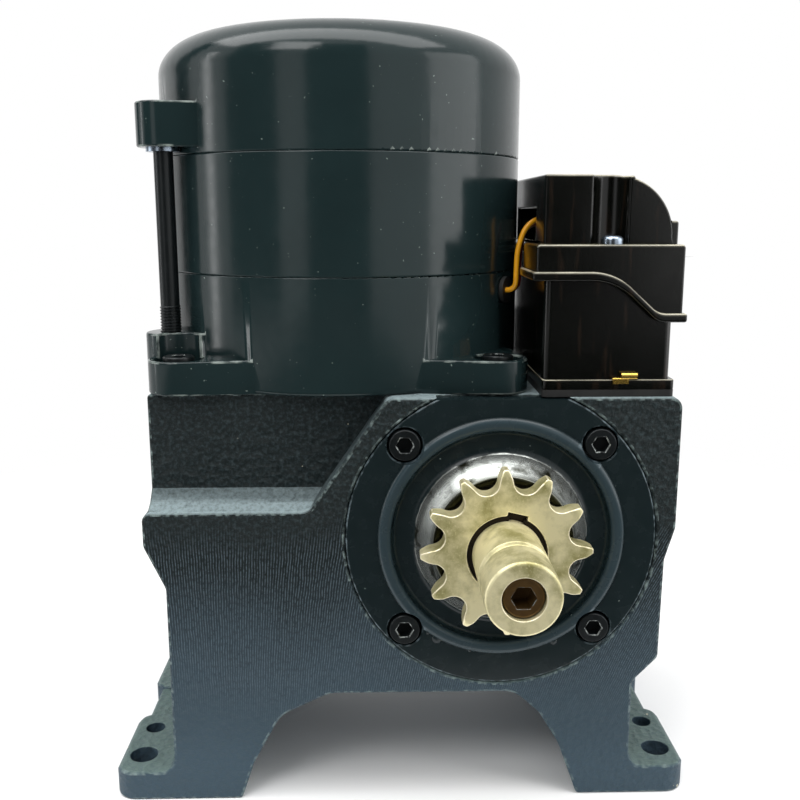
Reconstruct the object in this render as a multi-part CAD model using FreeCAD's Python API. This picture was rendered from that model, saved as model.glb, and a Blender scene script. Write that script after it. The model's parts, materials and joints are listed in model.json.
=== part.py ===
"""Sliding gate motor.

A cast-iron worm gearbox on four feet carries an upright induction motor and a black control box.
Its output shaft, with a 12-tooth chain sprocket, points to the front.

Millimetres. +Z is up and the output shaft points along -Y. The origin is the centre of the
foundation bolt pattern, on the plane that the feet stand on.
"""
import FreeCAD, Part
import math
import os

V = FreeCAD.Vector
X_AXIS, Y_AXIS, Z_AXIS = V(1, 0, 0), V(0, 1, 0), V(0, 0, 1)

# ---------------------------------------------------------------- driving dimensions
# Base
BASE_L, BASE_D, FOOT_T = 250.0, 126.0, 13.0
FRONT, REAR = -BASE_D / 2, BASE_D / 2
PAD_D, RAIL_IN, RAIL_DROP = 50.0, 4.0, 1.5     # pad depth; the rail between pads is set in and lower
BOLT_X, BOLT_END, SLIM_END = 115.0, 14.5, 37.0  # hole rows; large and small hole from each end
BOLT_R, SLIM_R = 6.0, 4.25
LEG_LEFT, LEG_RIGHT = -98.5, 99.0              # outer faces of the two legs

# Gearbox casting
BODY_TOP = 177.5
BLOCK_LEFT, BODY_RIGHT = -105.0, 114.0
LEDGE_BACK, LEDGE_Z, LEDGE_RISE = 12.0, 130.0, 5.5
SEAT_REAR = 101.0                              # the motor seat overhangs the base to here

# Output shaft, its cover and its worm wheel
SHAFT_X, SHAFT_Z = 41.0, 118.3
COVER_R, COVER_T, COVER_FIT = 64.5, 9.0, 0.3
COVER_TOP = BODY_TOP - 0.7
COVER_SCREW_R = 56.5                           # radius of the circle of cover screws
BORE_R, BORE_END = 49.0, 42.0
SHAFT_R, SHAFT_TIP = 14.0, FRONT - 64.0
RUN = 0.05                                     # radial running clearance, shaft in bore
SEAT_GAP = 0.05                                # radial gap of parts that are pressed or screwed together

# Worm gear: module 3, one start, 30 teeth
MODULE, TEETH = 3.0, 30
MOTOR_X, MOTOR_Y = -26.0, 22.0
CENTRES = SHAFT_X - MOTOR_X
WHEEL_PITCH_R = MODULE * TEETH / 2
WORM_PITCH_R = CENTRES - WHEEL_PITCH_R
WORM_PITCH = math.pi * MODULE                  # axial pitch, equal to the lead of one start
PRESSURE_ANGLE = math.radians(20)
BACKLASH = 0.35                                # taken off each flank of the worm thread
WHEEL_W, WORM_L = 24.0, 6 * WORM_PITCH       # a whole number of turns either side of the middle

# Sprocket: 12 teeth for chain of 15.875 pitch with 10.16 rollers
SPROCKET_TEETH, CHAIN_PITCH, ROLLER_D = 12, 15.875, 10.16
SPROCKET_T, SPROCKET_FRONT, SPROCKET_TIP_R = 8.7, FRONT - 20.0, 34.4
TOOTH_ANGLE = 91.6                             # a tooth points here at rest, degrees from +X
KEY_ANGLE = TOOTH_ANGLE - 15.0                 # the key sits under a tooth gap

# Motor
MOTOR_R, MOTOR_WALL = 82.0, 7.0
SEAM_2, SEAM_1, MOTOR_TOP = BODY_TOP + 48.0, BODY_TOP + 97.0, BODY_TOP + 151.0
EAR_OFFSET, EAR_R, EAR_T = 66.5, 12.5, 14.0
ROD_RADIUS, ROD_ANGLE = 89.0, math.radians(36)  # tie rods, from the motor axis, towards front left
LUG_R, LUG_TOP = 10.5, BODY_TOP + 23.5
CAP_EAR_Z, CAP_EAR_T = SEAM_1 + 2.5, 18.0
CORE_BOTTOM, CORE_TOP, BORE_OF_CORE, SLOTS = BODY_TOP + 42.0, BODY_TOP + 102.0, 44.0, 24

# Control box
BOX_X0, BOX_X1, BOX_Y0, BOX_Y1 = 57.0, 109.0, -59.0, 50.0
PLATE_T, BOX_WALL = 3.5, 2.5
LIP_LEFT_Z, LIP_RIGHT_Z = BODY_TOP + 50.0, BODY_TOP + 33.5
SKIRT_TOP, BOX_TOP = BODY_TOP + 61.0, BODY_TOP + 88.5
SKIRT_X0, SKIRT_X1, SKIRT_Y0, SKIRT_Y1 = 53.0, 112.0, -61.5, 52.5
DOME_X0, DOME_X1, DOME_Y0, DOME_Y1 = 58.0, 111.0, -47.0, 38.0
BOX_SCREW_X, BOX_SCREW_FRONT, BOX_SCREW_REAR = 85.0, -51.0, 42.5

M8_R, M8_HEAD_R, M8_HEAD_H, M8_HEX = 4.0, 6.5, 8.0, 6.0


# ---------------------------------------------------------------- helpers
def rounded_wire(corners, place):
    """Closed wire through corners (u, v) or (u, v, radius); place maps u, v to space."""
    count = len(corners)
    ends, arcs = [], []
    for i, corner in enumerate(corners):
        u, v = corner[0], corner[1]
        if len(corner) < 3:
            ends.append(((u, v), (u, v)))
            arcs.append(None)
            continue
        radius = corner[2]
        before, after = corners[i - 1], corners[(i + 1) % count]
        a = V(before[0] - u, before[1] - v, 0).normalize()
        b = V(after[0] - u, after[1] - v, 0).normalize()
        half = a.getAngle(b) / 2
        reach = radius / math.tan(half)
        inward = (a + b).normalize()
        middle = inward * (radius / math.sin(half) - radius)
        ends.append(((u + a.x * reach, v + a.y * reach), (u + b.x * reach, v + b.y * reach)))
        arcs.append((u + middle.x, v + middle.y))
    edges = []
    for i in range(count):
        start, end = place(*ends[i][1]), place(*ends[(i + 1) % count][0])
        if arcs[i]:
            edges.append(Part.Arc(place(*ends[i][0]), place(*arcs[i]), start).toShape())
        if start.distanceToPoint(end) > 1e-6:
            edges.append(Part.LineSegment(start, end).toShape())
    return Part.Wire(edges)


def plate(corners, y0, y1):
    """Outline in x, z, thick from y0 to y1."""
    face = Part.Face(rounded_wire(corners, lambda x, z: V(x, y0, z)))
    return face.extrude(V(0, y1 - y0, 0))


def slab(corners, z0, z1):
    """Outline in x, y, thick from z0 to z1."""
    face = Part.Face(rounded_wire(corners, lambda x, y: V(x, y, z0)))
    return face.extrude(V(0, 0, z1 - z0))


def beam(corners, x0, x1):
    """Outline in y, z, long from x0 to x1."""
    face = Part.Face(rounded_wire(corners, lambda y, z: V(x0, y, z)))
    return face.extrude(V(x1 - x0, 0, 0))


def box(x0, x1, y0, y1, z0, z1):
    return Part.makeBox(x1 - x0, y1 - y0, z1 - z0, V(x0, y0, z0))


def upright(radius, x, y, z0, z1):
    return Part.makeCylinder(radius, z1 - z0, V(x, y, z0), Z_AXIS)


def level(radius, x, z, y0, y1):
    return Part.makeCylinder(radius, y1 - y0, V(x, y0, z), Y_AXIS)


def turned_y(corners, x=SHAFT_X, z=SHAFT_Z):
    """Revolve (radius, y) corners about the line along Y through x, z."""
    face = Part.Face(rounded_wire(corners, lambda r, y: V(x + r, y, z)))
    return face.revolve(V(x, 0, z), Y_AXIS, 360)


def turned_z(corners, x=MOTOR_X, y=MOTOR_Y):
    """Revolve (radius, z) corners about the upright line through x, y."""
    face = Part.Face(rounded_wire(corners, lambda r, z: V(x + r, y, z)))
    return face.revolve(V(x, y, 0), Z_AXIS, 360)


def ring_y(r_in, r_out, y0, y1, x=SHAFT_X, z=SHAFT_Z):
    return level(r_out, x, z, y0, y1).cut(level(r_in, x, z, y0, y1))


def ring_z(r_in, r_out, z0, z1, x=MOTOR_X, y=MOTOR_Y):
    return upright(r_out, x, y, z0, z1).cut(upright(r_in, x, y, z0, z1))


def united(shapes):
    return shapes[0].fuse(list(shapes[1:])).removeSplitter()


def hexagon(across_flats, base, direction, depth):
    """Hexagonal prism that starts at base and runs along direction."""
    prism = Part.makePolygon([V(across_flats / math.sqrt(3) * math.cos(math.radians(60 * i)),
                                across_flats / math.sqrt(3) * math.sin(math.radians(60 * i)), 0)
                              for i in range(7)])
    solid = Part.Face(prism).extrude(V(0, 0, depth))
    solid.Placement = FreeCAD.Placement(base, FreeCAD.Rotation(Z_AXIS, direction))
    return solid


def cap_screw(seat, direction, length, radius=M8_R, head_r=M8_HEAD_R, head_h=M8_HEAD_H, key=M8_HEX):
    """Socket head screw: the head stands on seat, the shank runs along direction."""
    shank = Part.makeCylinder(radius, length, seat, direction)
    head = Part.makeCylinder(head_r, head_h, seat, direction * -1)
    rim = [edge for edge in head.Edges if (edge.CenterOfMass - seat).Length > head_h / 2
           and edge.Closed]
    head = head.makeChamfer(0.6, rim)
    socket = hexagon(key, seat - direction * head_h, direction, head_h * 0.55)
    return shank.fuse(head).cut(socket)


def bearing(inner_r, outer_r, width):
    """Ball bearing with a shield on each face, as a corner list of radius and height."""
    land = (outer_r - inner_r) * 0.28
    dish = 0.8
    return [(inner_r, 0), (inner_r + land, 0), (inner_r + land, dish), (outer_r - land, dish),
            (outer_r - land, 0), (outer_r, 0), (outer_r, width), (outer_r - land, width),
            (outer_r - land, width - dish), (inner_r + land, width - dish),
            (inner_r + land, width), (inner_r, width)]


def shifted(corners, offset):
    return [(u, v + offset) for u, v in corners]


def four_corners(dx, dy):
    return [(sx * dx, sy * dy) for sx in (-1, 1) for sy in (-1, 1)]


def motor_ear(dx, dy, radius, spread, z0, z1, reach=34.0):
    """Ear on the motor: a round end at offset dx, dy whose sides spread towards the axis."""
    centre = V(MOTOR_X + dx, MOTOR_Y + dy, z0)
    inward = math.atan2(-dy, -dx)
    corners = []
    for side in (1, -1):
        along = inward + side * spread
        across = along + side * math.pi / 2
        start = centre + V(math.cos(across), math.sin(across), 0) * radius
        far = start + V(math.cos(along), math.sin(along), 0) * reach
        corners += [start, far] if side > 0 else [far, start]
    wedge = Part.Face(Part.makePolygon(corners + corners[:1])).extrude(V(0, 0, z1 - z0))
    tip = upright(radius, centre.x, centre.y, z0, z1)
    return wedge.fuse(tip)


EAR_PLACES = four_corners(EAR_OFFSET, EAR_OFFSET)
ROD_DX, ROD_DY = -ROD_RADIUS * math.cos(ROD_ANGLE), -ROD_RADIUS * math.sin(ROD_ANGLE)
ROD_PLACES = [(ROD_DX, ROD_DY), (-ROD_DX, -ROD_DY)]
COVER_SCREW_D = COVER_SCREW_R / math.sqrt(2)
COVER_SCREWS = [(SHAFT_X + dx, SHAFT_Z + dz) for dx, dz in four_corners(COVER_SCREW_D, COVER_SCREW_D)]


# ---------------------------------------------------------------- gearbox casting
RIGHT_SIDE = [(BODY_RIGHT, BODY_TOP, 5), (BODY_RIGHT, 122, 4), (BODY_RIGHT - 4, 108, 4),
              (BODY_RIGHT - 4.5, 64, 4), (LEG_RIGHT, 53, 4), (LEG_RIGHT, 0)]
OVERHANG = 2.0                                 # the front of the left shoulder stands out by this


def front_slab():
    """Front of the casting: both legs, the left shoulder and the boss round the cover."""
    shoulder = BLOCK_LEFT - OVERHANG
    return plate([(LEG_LEFT, 0), (LEG_LEFT, 97, 6), (shoulder, 115.5, 6), (shoulder, LEDGE_Z, 4),
                  (-38.5, LEDGE_Z, 6), (-6, BODY_TOP, 5)] + RIGHT_SIDE, FRONT, FRONT + LEDGE_BACK)


def main_block():
    return plate([(LEG_LEFT, 0), (LEG_LEFT, 97, 6), (BLOCK_LEFT, 113, 6), (BLOCK_LEFT, BODY_TOP, 2)]
                 + RIGHT_SIDE, FRONT + LEDGE_BACK, REAR)


def shoulder_ledge():
    """Sloping top of the left shoulder, from the front face back to the block."""
    back = FRONT + LEDGE_BACK
    slope = beam([(FRONT + 2, LEDGE_Z - 4), (FRONT + 2, LEDGE_Z - 0.5), (back - 4, LEDGE_Z + 3, 10),
                  (back + 1, LEDGE_Z + LEDGE_RISE + 3), (back + 1, LEDGE_Z - 4)],
                 BLOCK_LEFT - OVERHANG + 2, -30)
    return slope.common(plate([(BLOCK_LEFT, LEDGE_Z - 10), (BLOCK_LEFT, BODY_TOP, 3),
                               (-6, BODY_TOP), (-38.5, LEDGE_Z - 10)], FRONT, back + 1))


def motor_seat():
    """Rear overhang under the motor, with a raking underside."""
    right = MOTOR_X + EAR_OFFSET + EAR_R
    rake = beam([(REAR - 14, 102), (SEAT_REAR, 155), (SEAT_REAR, BODY_TOP), (REAR - 14, BODY_TOP)],
                BLOCK_LEFT, right)
    return rake.common(slab([(BLOCK_LEFT, REAR - 14), (BLOCK_LEFT, SEAT_REAR, EAR_R),
                             (right, SEAT_REAR, EAR_R), (right, REAR - 14)], 90, BODY_TOP))


def foot(side):
    """Two bolting pads joined by a slimmer rail, along one side of the base."""
    outer, leg = side * BASE_L / 2, (LEG_LEFT if side < 0 else LEG_RIGHT)
    inner = leg - side * 8
    rise = [(outer, 0), (outer, FOOT_T, 3), (leg, FOOT_T, 6), (leg, FOOT_T + 12), (inner, FOOT_T + 12),
            (inner, 0)]
    pads = [plate(rise, y0, y0 + PAD_D).common(
                slab([(inner, y0), (outer, y0, 9), (outer, y0 + PAD_D, 9), (inner, y0 + PAD_D)],
                     0, FOOT_T + 12))
            for y0 in (FRONT, REAR - PAD_D)]
    edge = outer - side * RAIL_IN
    rail = plate([(edge, 0), (edge, FOOT_T - RAIL_DROP, 2), (leg, FOOT_T - RAIL_DROP, 6),
                  (leg, FOOT_T + 10), (inner, FOOT_T + 10), (inner, 0)],
                 FRONT + PAD_D - 4, REAR - PAD_D + 4)
    return pads + [rail]


def arch():
    """Opening between the legs, right through the base."""
    return plate([(-70, -1), (-64, 17, 20), (-52, 39, 14), (-31, 49, 12), (48, 49, 12),
                  (59, 39, 8), (68, 24, 12), (77, -1)], FRONT - 1, REAR + 1)


BOSS_R, BOSS_OUT = 36.0, 3.0                   # rear boss of the output bearing
PLUG_R, PLUG_PAD_R, PLUG_WASHER_T = 7.0, 12.0, 1.5
DRAIN_PLUG, LEVEL_PLUG = (MOTOR_X, 84.0), (SHAFT_X + 39, SHAFT_Z + 16)
WELL_R, WELL_END, FOOT_BEARING_R, FOOT_BEARING_W = 28.0, 88.0, 23.5, 14.0
REAR_BEARING_R, REAR_BEARING_W = 31.0, 16.0
SPIGOT_R, SPIGOT_H = 45.0, 6.0
EAR_SCREW_DEPTH = 9.0


def gearbox_housing():
    solid = united([main_block(), front_slab(), shoulder_ledge(), motor_seat(),
                    level(BOSS_R, SHAFT_X, SHAFT_Z, REAR - 5, REAR + BOSS_OUT)]
                   + [level(PLUG_PAD_R, x, z, REAR - 5, REAR + BOSS_OUT) for x, z in (DRAIN_PLUG, LEVEL_PLUG)]
                   + foot(-1) + foot(1))
    cuts = [arch(),
            level(COVER_R + COVER_FIT, SHAFT_X, SHAFT_Z, FRONT, FRONT + COVER_T),
            level(BORE_R, SHAFT_X, SHAFT_Z, FRONT, BORE_END),
            level(REAR_BEARING_R + SEAT_GAP, SHAFT_X, SHAFT_Z, BORE_END - 1, BORE_END + REAR_BEARING_W),
            upright(WELL_R, MOTOR_X, MOTOR_Y, WELL_END, BODY_TOP + 1),
            upright(FOOT_BEARING_R + SEAT_GAP, MOTOR_X, MOTOR_Y, WELL_END - FOOT_BEARING_W, WELL_END),
            upright(SPIGOT_R + SEAT_GAP, MOTOR_X, MOTOR_Y, BODY_TOP - SPIGOT_H, BODY_TOP + 1)]
    cuts += [upright(r, sx * BOLT_X, sy * (REAR - end), -1, FOOT_T + 1)
             for r, end in ((BOLT_R, BOLT_END), (SLIM_R, SLIM_END)) for sx in (-1, 1) for sy in (-1, 1)]
    cuts += [level(M8_R + SEAT_GAP, x, z, FRONT, FRONT + COVER_T + 14) for x, z in COVER_SCREWS]
    cuts += [upright(M8_R + SEAT_GAP, MOTOR_X + dx, MOTOR_Y + dy, BODY_TOP - EAR_SCREW_DEPTH, BODY_TOP + 1)
             for dx, dy in EAR_PLACES]
    cuts += [level(PLUG_R + SEAT_GAP, x, z, REAR - 24, REAR + BOSS_OUT + 1)
             for x, z in (DRAIN_PLUG, LEVEL_PLUG)]
    return solid.cut(cuts)


def oil_plug(x, z, depth):
    """Socket plug with a flange, screwed in from the rear."""
    under = REAR + BOSS_OUT + PLUG_WASHER_T
    plug = turned_y([(0, REAR - depth), (PLUG_R, REAR - depth), (PLUG_R, under),
                     (10, under), (10, under + 4, 0.8), (0, under + 4)], x, z)
    return plug.cut(hexagon(7, V(x, under + 4, z), V(0, -1, 0), 5))


def plug_washer(x, z):
    seat = REAR + BOSS_OUT
    return ring_y(PLUG_R + SEAT_GAP, 10.5, seat, seat + PLUG_WASHER_T, x, z)


# ---------------------------------------------------------------- output cover
SEAL_R, SEAL_BORE_R, SEAL_W = 26.0, 15.0, 8.0
HUB_OUT, HUB_FRONT_R, HUB_FOOT_R = 9.0, 28.5, 36.5
RECESS, LIP_R, LIP_W, LIP_OUT = 2.5, 48.4, 4.8, 2.0
FRONT_BEARING_R, FRONT_BEARING_W = 31.0, 16.0
FRONT_BEARING_Y = FRONT + COVER_T + 1.0
COVER_RECESS_R, COVER_RECESS = 7.4, 7.0


def output_cover():
    """Round cover: stepped ring, conical hub with the seal, and the front bearing housing behind."""
    bearing_end = FRONT_BEARING_Y + FRONT_BEARING_W
    spigot_end = FRONT + COVER_T + 5
    solid = turned_y([
        (COVER_R, FRONT, 0.6), (COVER_R, FRONT + COVER_T), (BORE_R - SEAT_GAP, FRONT + COVER_T),
        (BORE_R - SEAT_GAP, spigot_end), (37, spigot_end), (37, bearing_end),
        (FRONT_BEARING_R + SEAT_GAP, bearing_end), (FRONT_BEARING_R + SEAT_GAP, FRONT_BEARING_Y),
        (SEAL_BORE_R + 2, FRONT_BEARING_Y), (SEAL_BORE_R + 2, FRONT + 6),
        (SEAL_R + SEAT_GAP, FRONT + 6), (SEAL_R + SEAT_GAP, FRONT - HUB_OUT),
        (HUB_FRONT_R, FRONT - HUB_OUT, 0.8), (HUB_FOOT_R, FRONT + RECESS, 2.5),
        (LIP_R - LIP_W / 2 - 1, FRONT + RECESS, 1.5), (LIP_R - LIP_W / 2, FRONT - LIP_OUT, 1.6),
        (LIP_R + LIP_W / 2, FRONT - LIP_OUT, 1.6), (LIP_R + LIP_W / 2 + 0.6, FRONT, 0.5)])
    solid = solid.cut(box(SHAFT_X - COVER_R, SHAFT_X + COVER_R, FRONT - 20, FRONT + COVER_T,
                          COVER_TOP, COVER_TOP + 20))
    for x, z in COVER_SCREWS:
        solid = solid.cut([level(M8_R + 0.5, x, z, FRONT - 1, FRONT + COVER_T + 10),
                           level(COVER_RECESS_R, x, z, FRONT - 5, FRONT + COVER_RECESS)])
    return solid


def cover_screws():
    return [cap_screw(V(x, FRONT + COVER_RECESS, z), Y_AXIS, COVER_T - COVER_RECESS + 13)
            for x, z in COVER_SCREWS]


def output_seal():
    """Lip seal, set back inside the hub."""
    y0 = FRONT + 6 - SEAL_W
    return turned_y([(SEAL_R, y0), (SEAL_R, y0 + SEAL_W), (SEAL_R - 2, y0 + SEAL_W),
                     (SEAL_R - 2, y0 + 2.5), (SEAL_BORE_R + 3, y0 + 2.5), (SEAL_BORE_R + RUN, y0 + 5),
                     (SEAL_BORE_R + RUN, y0 + 2), (SEAL_BORE_R + 2, y0 + 0.8),
                     (SEAL_R - 3, y0 + 0.8), (SEAL_R - 2, y0)])


def front_bearing():
    return turned_y(shifted(bearing(SEAL_BORE_R + RUN, FRONT_BEARING_R, FRONT_BEARING_W), FRONT_BEARING_Y))


def rear_bearing():
    return turned_y(shifted(bearing(SEAL_BORE_R + RUN, REAR_BEARING_R, REAR_BEARING_W), BORE_END))


# ---------------------------------------------------------------- output shaft and clutch
CLUTCH_R, JOURNAL_R = 38.0, 20.0
WHEEL_Y0, WHEEL_Y1 = MOTOR_Y - WHEEL_W / 2, MOTOR_Y + WHEEL_W / 2
LINING_T, FLANGE_T, SIDE_GAP = 3.0, 4.5, 0.3
PLATE_Y1 = WHEEL_Y0 - SIDE_GAP - LINING_T
PRESSURE_T, SPRING_T, SPRING_COUNT = 7.0, 2.5, 3
PIN_R, ROD_BORE_R, SCREW_R, SCREW_L = 4.0, 5.0, 7.6, 24.0
SPRINGS_Y0 = PLATE_Y1 - PRESSURE_T - SPRING_COUNT * SPRING_T
PIN_Y = SPRINGS_Y0 - PIN_R - 3.0
GROOVE_Y, GROOVE_W, GROOVE_DEPTH = SHAFT_TIP + 17.0, 4.5, 1.3
KEY_W, KEY_H, KEY_BASE = 8.0, 7.0, 10.0
CIRCLIP_T, CIRCLIP_R, CIRCLIP_RECESS = 1.5, 15.8, 2.2
CIRCLIP_Y = SPROCKET_FRONT + CIRCLIP_RECESS - CIRCLIP_T


def output_shaft():
    """Stepped shaft: nose, bearing journals, clutch flange, and a bore for the push rod."""
    solid = turned_y([
        (0, SHAFT_TIP), (SHAFT_R, SHAFT_TIP, 1.6), (SHAFT_R, GROOVE_Y, 0.6),
        (SHAFT_R - GROOVE_DEPTH, GROOVE_Y + 0.8, 0.6),
        (SHAFT_R - GROOVE_DEPTH, GROOVE_Y + GROOVE_W - 0.8, 0.6), (SHAFT_R, GROOVE_Y + GROOVE_W, 0.6),
        (SHAFT_R, CIRCLIP_Y), (SHAFT_R - 1.2, CIRCLIP_Y), (SHAFT_R - 1.2, CIRCLIP_Y + CIRCLIP_T),
        (SHAFT_R, CIRCLIP_Y + CIRCLIP_T), (SHAFT_R, SPROCKET_FRONT + SPROCKET_T + 0.4),
        (SEAL_BORE_R, SPROCKET_FRONT + SPROCKET_T + 0.4),
        (SEAL_BORE_R, FRONT_BEARING_Y + FRONT_BEARING_W), (JOURNAL_R, FRONT_BEARING_Y + FRONT_BEARING_W),
        (JOURNAL_R, WHEEL_Y1 + SIDE_GAP + LINING_T), (CLUTCH_R, WHEEL_Y1 + SIDE_GAP + LINING_T),
        (CLUTCH_R, WHEEL_Y1 + SIDE_GAP + LINING_T + FLANGE_T),
        (SEAL_BORE_R, WHEEL_Y1 + SIDE_GAP + LINING_T + FLANGE_T),
        (SEAL_BORE_R, BORE_END + REAR_BEARING_W - 1, 1), (0, BORE_END + REAR_BEARING_W - 1)])
    pin_slot = box(SHAFT_X - JOURNAL_R - 1, SHAFT_X + JOURNAL_R + 1, PIN_Y - PIN_R - 3, PIN_Y + PIN_R + 1,
                   SHAFT_Z - PIN_R - 0.1, SHAFT_Z + PIN_R + 0.1)
    return solid.cut([level(SCREW_R + 0.4, SHAFT_X, SHAFT_Z, SHAFT_TIP - 1, SHAFT_TIP + SCREW_L + 6),
                      level(ROD_BORE_R + 0.1, SHAFT_X, SHAFT_Z, SHAFT_TIP, PIN_Y + PIN_R + 1),
                      pin_slot, key_block(0.0)])


def key_block(grow):
    """Feather key between shaft and sprocket, at the key angle."""
    y0 = SPROCKET_FRONT + CIRCLIP_RECESS + 0.3
    key = box(SHAFT_X - KEY_W / 2 - grow, SHAFT_X + KEY_W / 2 + grow, y0,
              SPROCKET_FRONT + SPROCKET_T, SHAFT_Z + KEY_BASE, SHAFT_Z + KEY_BASE + KEY_H)
    key.rotate(V(SHAFT_X, 0, SHAFT_Z), Y_AXIS, 90 - KEY_ANGLE)
    return key


def tooth_gap():
    """One gap between sprocket teeth, cut down from the tip circle, centred on +X."""
    pitch_r = CHAIN_PITCH / 2 / math.sin(math.pi / SPROCKET_TEETH)
    seat_r = 0.505 * ROLLER_D
    flank_r = 0.12 * ROLLER_D * (SPROCKET_TEETH + 2)
    half = math.radians(140 - 90 / SPROCKET_TEETH) / 2
    beyond = 40.0
    seat = V(pitch_r, 0, 0)
    turn = math.pi - half
    end = seat + V(math.cos(turn), math.sin(turn), 0) * seat_r
    flank = seat + V(math.cos(turn), math.sin(turn), 0) * (seat_r + flank_r)
    # the flank arc leaves the tooth where it meets the circle through the tips
    gap = flank.Length
    lean = math.atan2(flank.y, flank.x)
    meet = math.acos((gap ** 2 + SPROCKET_TIP_R ** 2 - flank_r ** 2) / (2 * gap * SPROCKET_TIP_R))
    tip = V(math.cos(lean - meet), math.sin(lean - meet), 0) * SPROCKET_TIP_R
    between = ((end + tip) * 0.5 - flank).normalize() * flank_r + flank
    out = tip * (beyond / SPROCKET_TIP_R)

    def mirror(p):
        return V(p.x, -p.y, p.z)

    edges = [Part.Arc(mirror(end), V(pitch_r - seat_r, 0, 0), end),
             Part.Arc(end, between, tip), Part.LineSegment(tip, out),
             Part.LineSegment(out, mirror(out)), Part.LineSegment(mirror(out), mirror(tip)),
             Part.Arc(mirror(tip), mirror(between), mirror(end))]
    return Part.Face(Part.Wire([edge.toShape() for edge in edges]))


def sprocket():
    """Plate sprocket with bevelled teeth, a keyway and a recess for its retaining ring."""
    y0, y1 = SPROCKET_FRONT, SPROCKET_FRONT + SPROCKET_T
    bevel, bevel_in = 1.3, 3.2
    blank = turned_y([(SHAFT_R + RUN, y0), (SPROCKET_TIP_R - bevel_in, y0), (SPROCKET_TIP_R, y0 + bevel),
                      (SPROCKET_TIP_R, y1 - bevel), (SPROCKET_TIP_R - bevel_in, y1), (SHAFT_R + RUN, y1)])
    gap = tooth_gap().extrude(V(0, 0, SPROCKET_T + 4))
    gap.Placement = FreeCAD.Placement(V(SHAFT_X, y1 + 2, SHAFT_Z), FreeCAD.Rotation(X_AXIS, 90))
    gaps = []
    for i in range(SPROCKET_TEETH):
        cut = gap.copy()
        cut.rotate(V(SHAFT_X, 0, SHAFT_Z), Y_AXIS, -(TOOTH_ANGLE + (i + 0.5) * 360 / SPROCKET_TEETH))
        gaps.append(cut)
    keyway = key_block(0.05)
    through = box(SHAFT_X - KEY_W / 2 - 0.05, SHAFT_X + KEY_W / 2 + 0.05, y0 - 1, y1 + 1,
                  SHAFT_Z + KEY_BASE, SHAFT_Z + KEY_BASE + KEY_H + 0.2)
    through.rotate(V(SHAFT_X, 0, SHAFT_Z), Y_AXIS, 90 - KEY_ANGLE)
    recess = level(CIRCLIP_R + 0.2, SHAFT_X, SHAFT_Z, y0 - 1, y0 + CIRCLIP_RECESS)
    return blank.cut(gaps + [keyway, through, recess])


def sprocket_circlip():
    """Retaining ring in its groove, open at the key."""
    ring = ring_y(SHAFT_R - 1.2 + 0.02, CIRCLIP_R, CIRCLIP_Y, CIRCLIP_Y + CIRCLIP_T)
    mouth = box(SHAFT_X - 3, SHAFT_X + 3, CIRCLIP_Y - 1, CIRCLIP_Y + CIRCLIP_T + 1, SHAFT_Z, SHAFT_Z + 20)
    mouth.rotate(V(SHAFT_X, 0, SHAFT_Z), Y_AXIS, 90 - KEY_ANGLE)
    return ring.cut(mouth)


def release_screw():
    """Socket screw in the shaft end that loads and frees the clutch."""
    y0 = SHAFT_TIP + 1.6
    solid = turned_y([(0, y0), (SCREW_R, y0, 1.0), (SCREW_R, y0 + SCREW_L - 2), (SCREW_R - 1.5, y0 + SCREW_L),
                      (0, y0 + SCREW_L)])
    return solid.cut(hexagon(8, V(SHAFT_X, y0, SHAFT_Z), Y_AXIS, 9))


def push_rod():
    return level(ROD_BORE_R, SHAFT_X, SHAFT_Z, SHAFT_TIP + 1.6 + SCREW_L + 0.4, PIN_Y - PIN_R)


def clutch_cross_pin():
    return Part.makeCylinder(PIN_R, 60, V(SHAFT_X - 30, PIN_Y, SHAFT_Z), X_AXIS)


def clutch_thrust_collar():
    """Collar that the cross pin pushes against the springs."""
    y0, y1 = PIN_Y - 2, SPRINGS_Y0
    collar = ring_y(JOURNAL_R + 0.1, 32, y0, y1)
    return collar.cut(Part.makeCylinder(PIN_R + 0.05, 80, V(SHAFT_X - 40, PIN_Y, SHAFT_Z), X_AXIS))


def clutch_disc_springs():
    """Three disc springs, nested the same way."""
    discs = []
    for i in range(SPRING_COUNT):
        y0 = SPRINGS_Y0 + i * SPRING_T
        discs.append(turned_y([(JOURNAL_R + 0.1, y0 + 1.1), (JOURNAL_R + 0.1, y0 + 2.4), (33, y0 + 1.3),
                               (33, y0)]))
    return discs


def clutch_pressure_plate():
    return ring_y(JOURNAL_R + 0.1, CLUTCH_R, PLATE_Y1 - PRESSURE_T, PLATE_Y1)


def clutch_linings():
    """Friction rings on both sides of the worm wheel."""
    return [ring_y(JOURNAL_R + 1, CLUTCH_R - 1, y0, y0 + LINING_T)
            for y0 in (PLATE_Y1, WHEEL_Y1 + SIDE_GAP)]


# ---------------------------------------------------------------- worm gear
ADDENDUM, DEDENDUM = MODULE, 1.25 * MODULE
WORM_TIP_R, WORM_ROOT_R = WORM_PITCH_R + ADDENDUM, WORM_PITCH_R - DEDENDUM
WHEEL_TIP_R, WHEEL_ROOT_R = WHEEL_PITCH_R + ADDENDUM, WHEEL_PITCH_R - DEDENDUM
LEAD_ANGLE = math.atan(WORM_PITCH / (2 * math.pi * WORM_PITCH_R))


def involute_half_width(radius):
    """Half the angle of a wheel tooth gap at this radius."""
    base_r = WHEEL_PITCH_R * math.cos(PRESSURE_ANGLE)

    def roll(r):
        angle = math.acos(min(1.0, base_r / r))
        return math.tan(angle) - angle

    return math.pi / (2 * TEETH) + roll(radius) - roll(WHEEL_PITCH_R)


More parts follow.
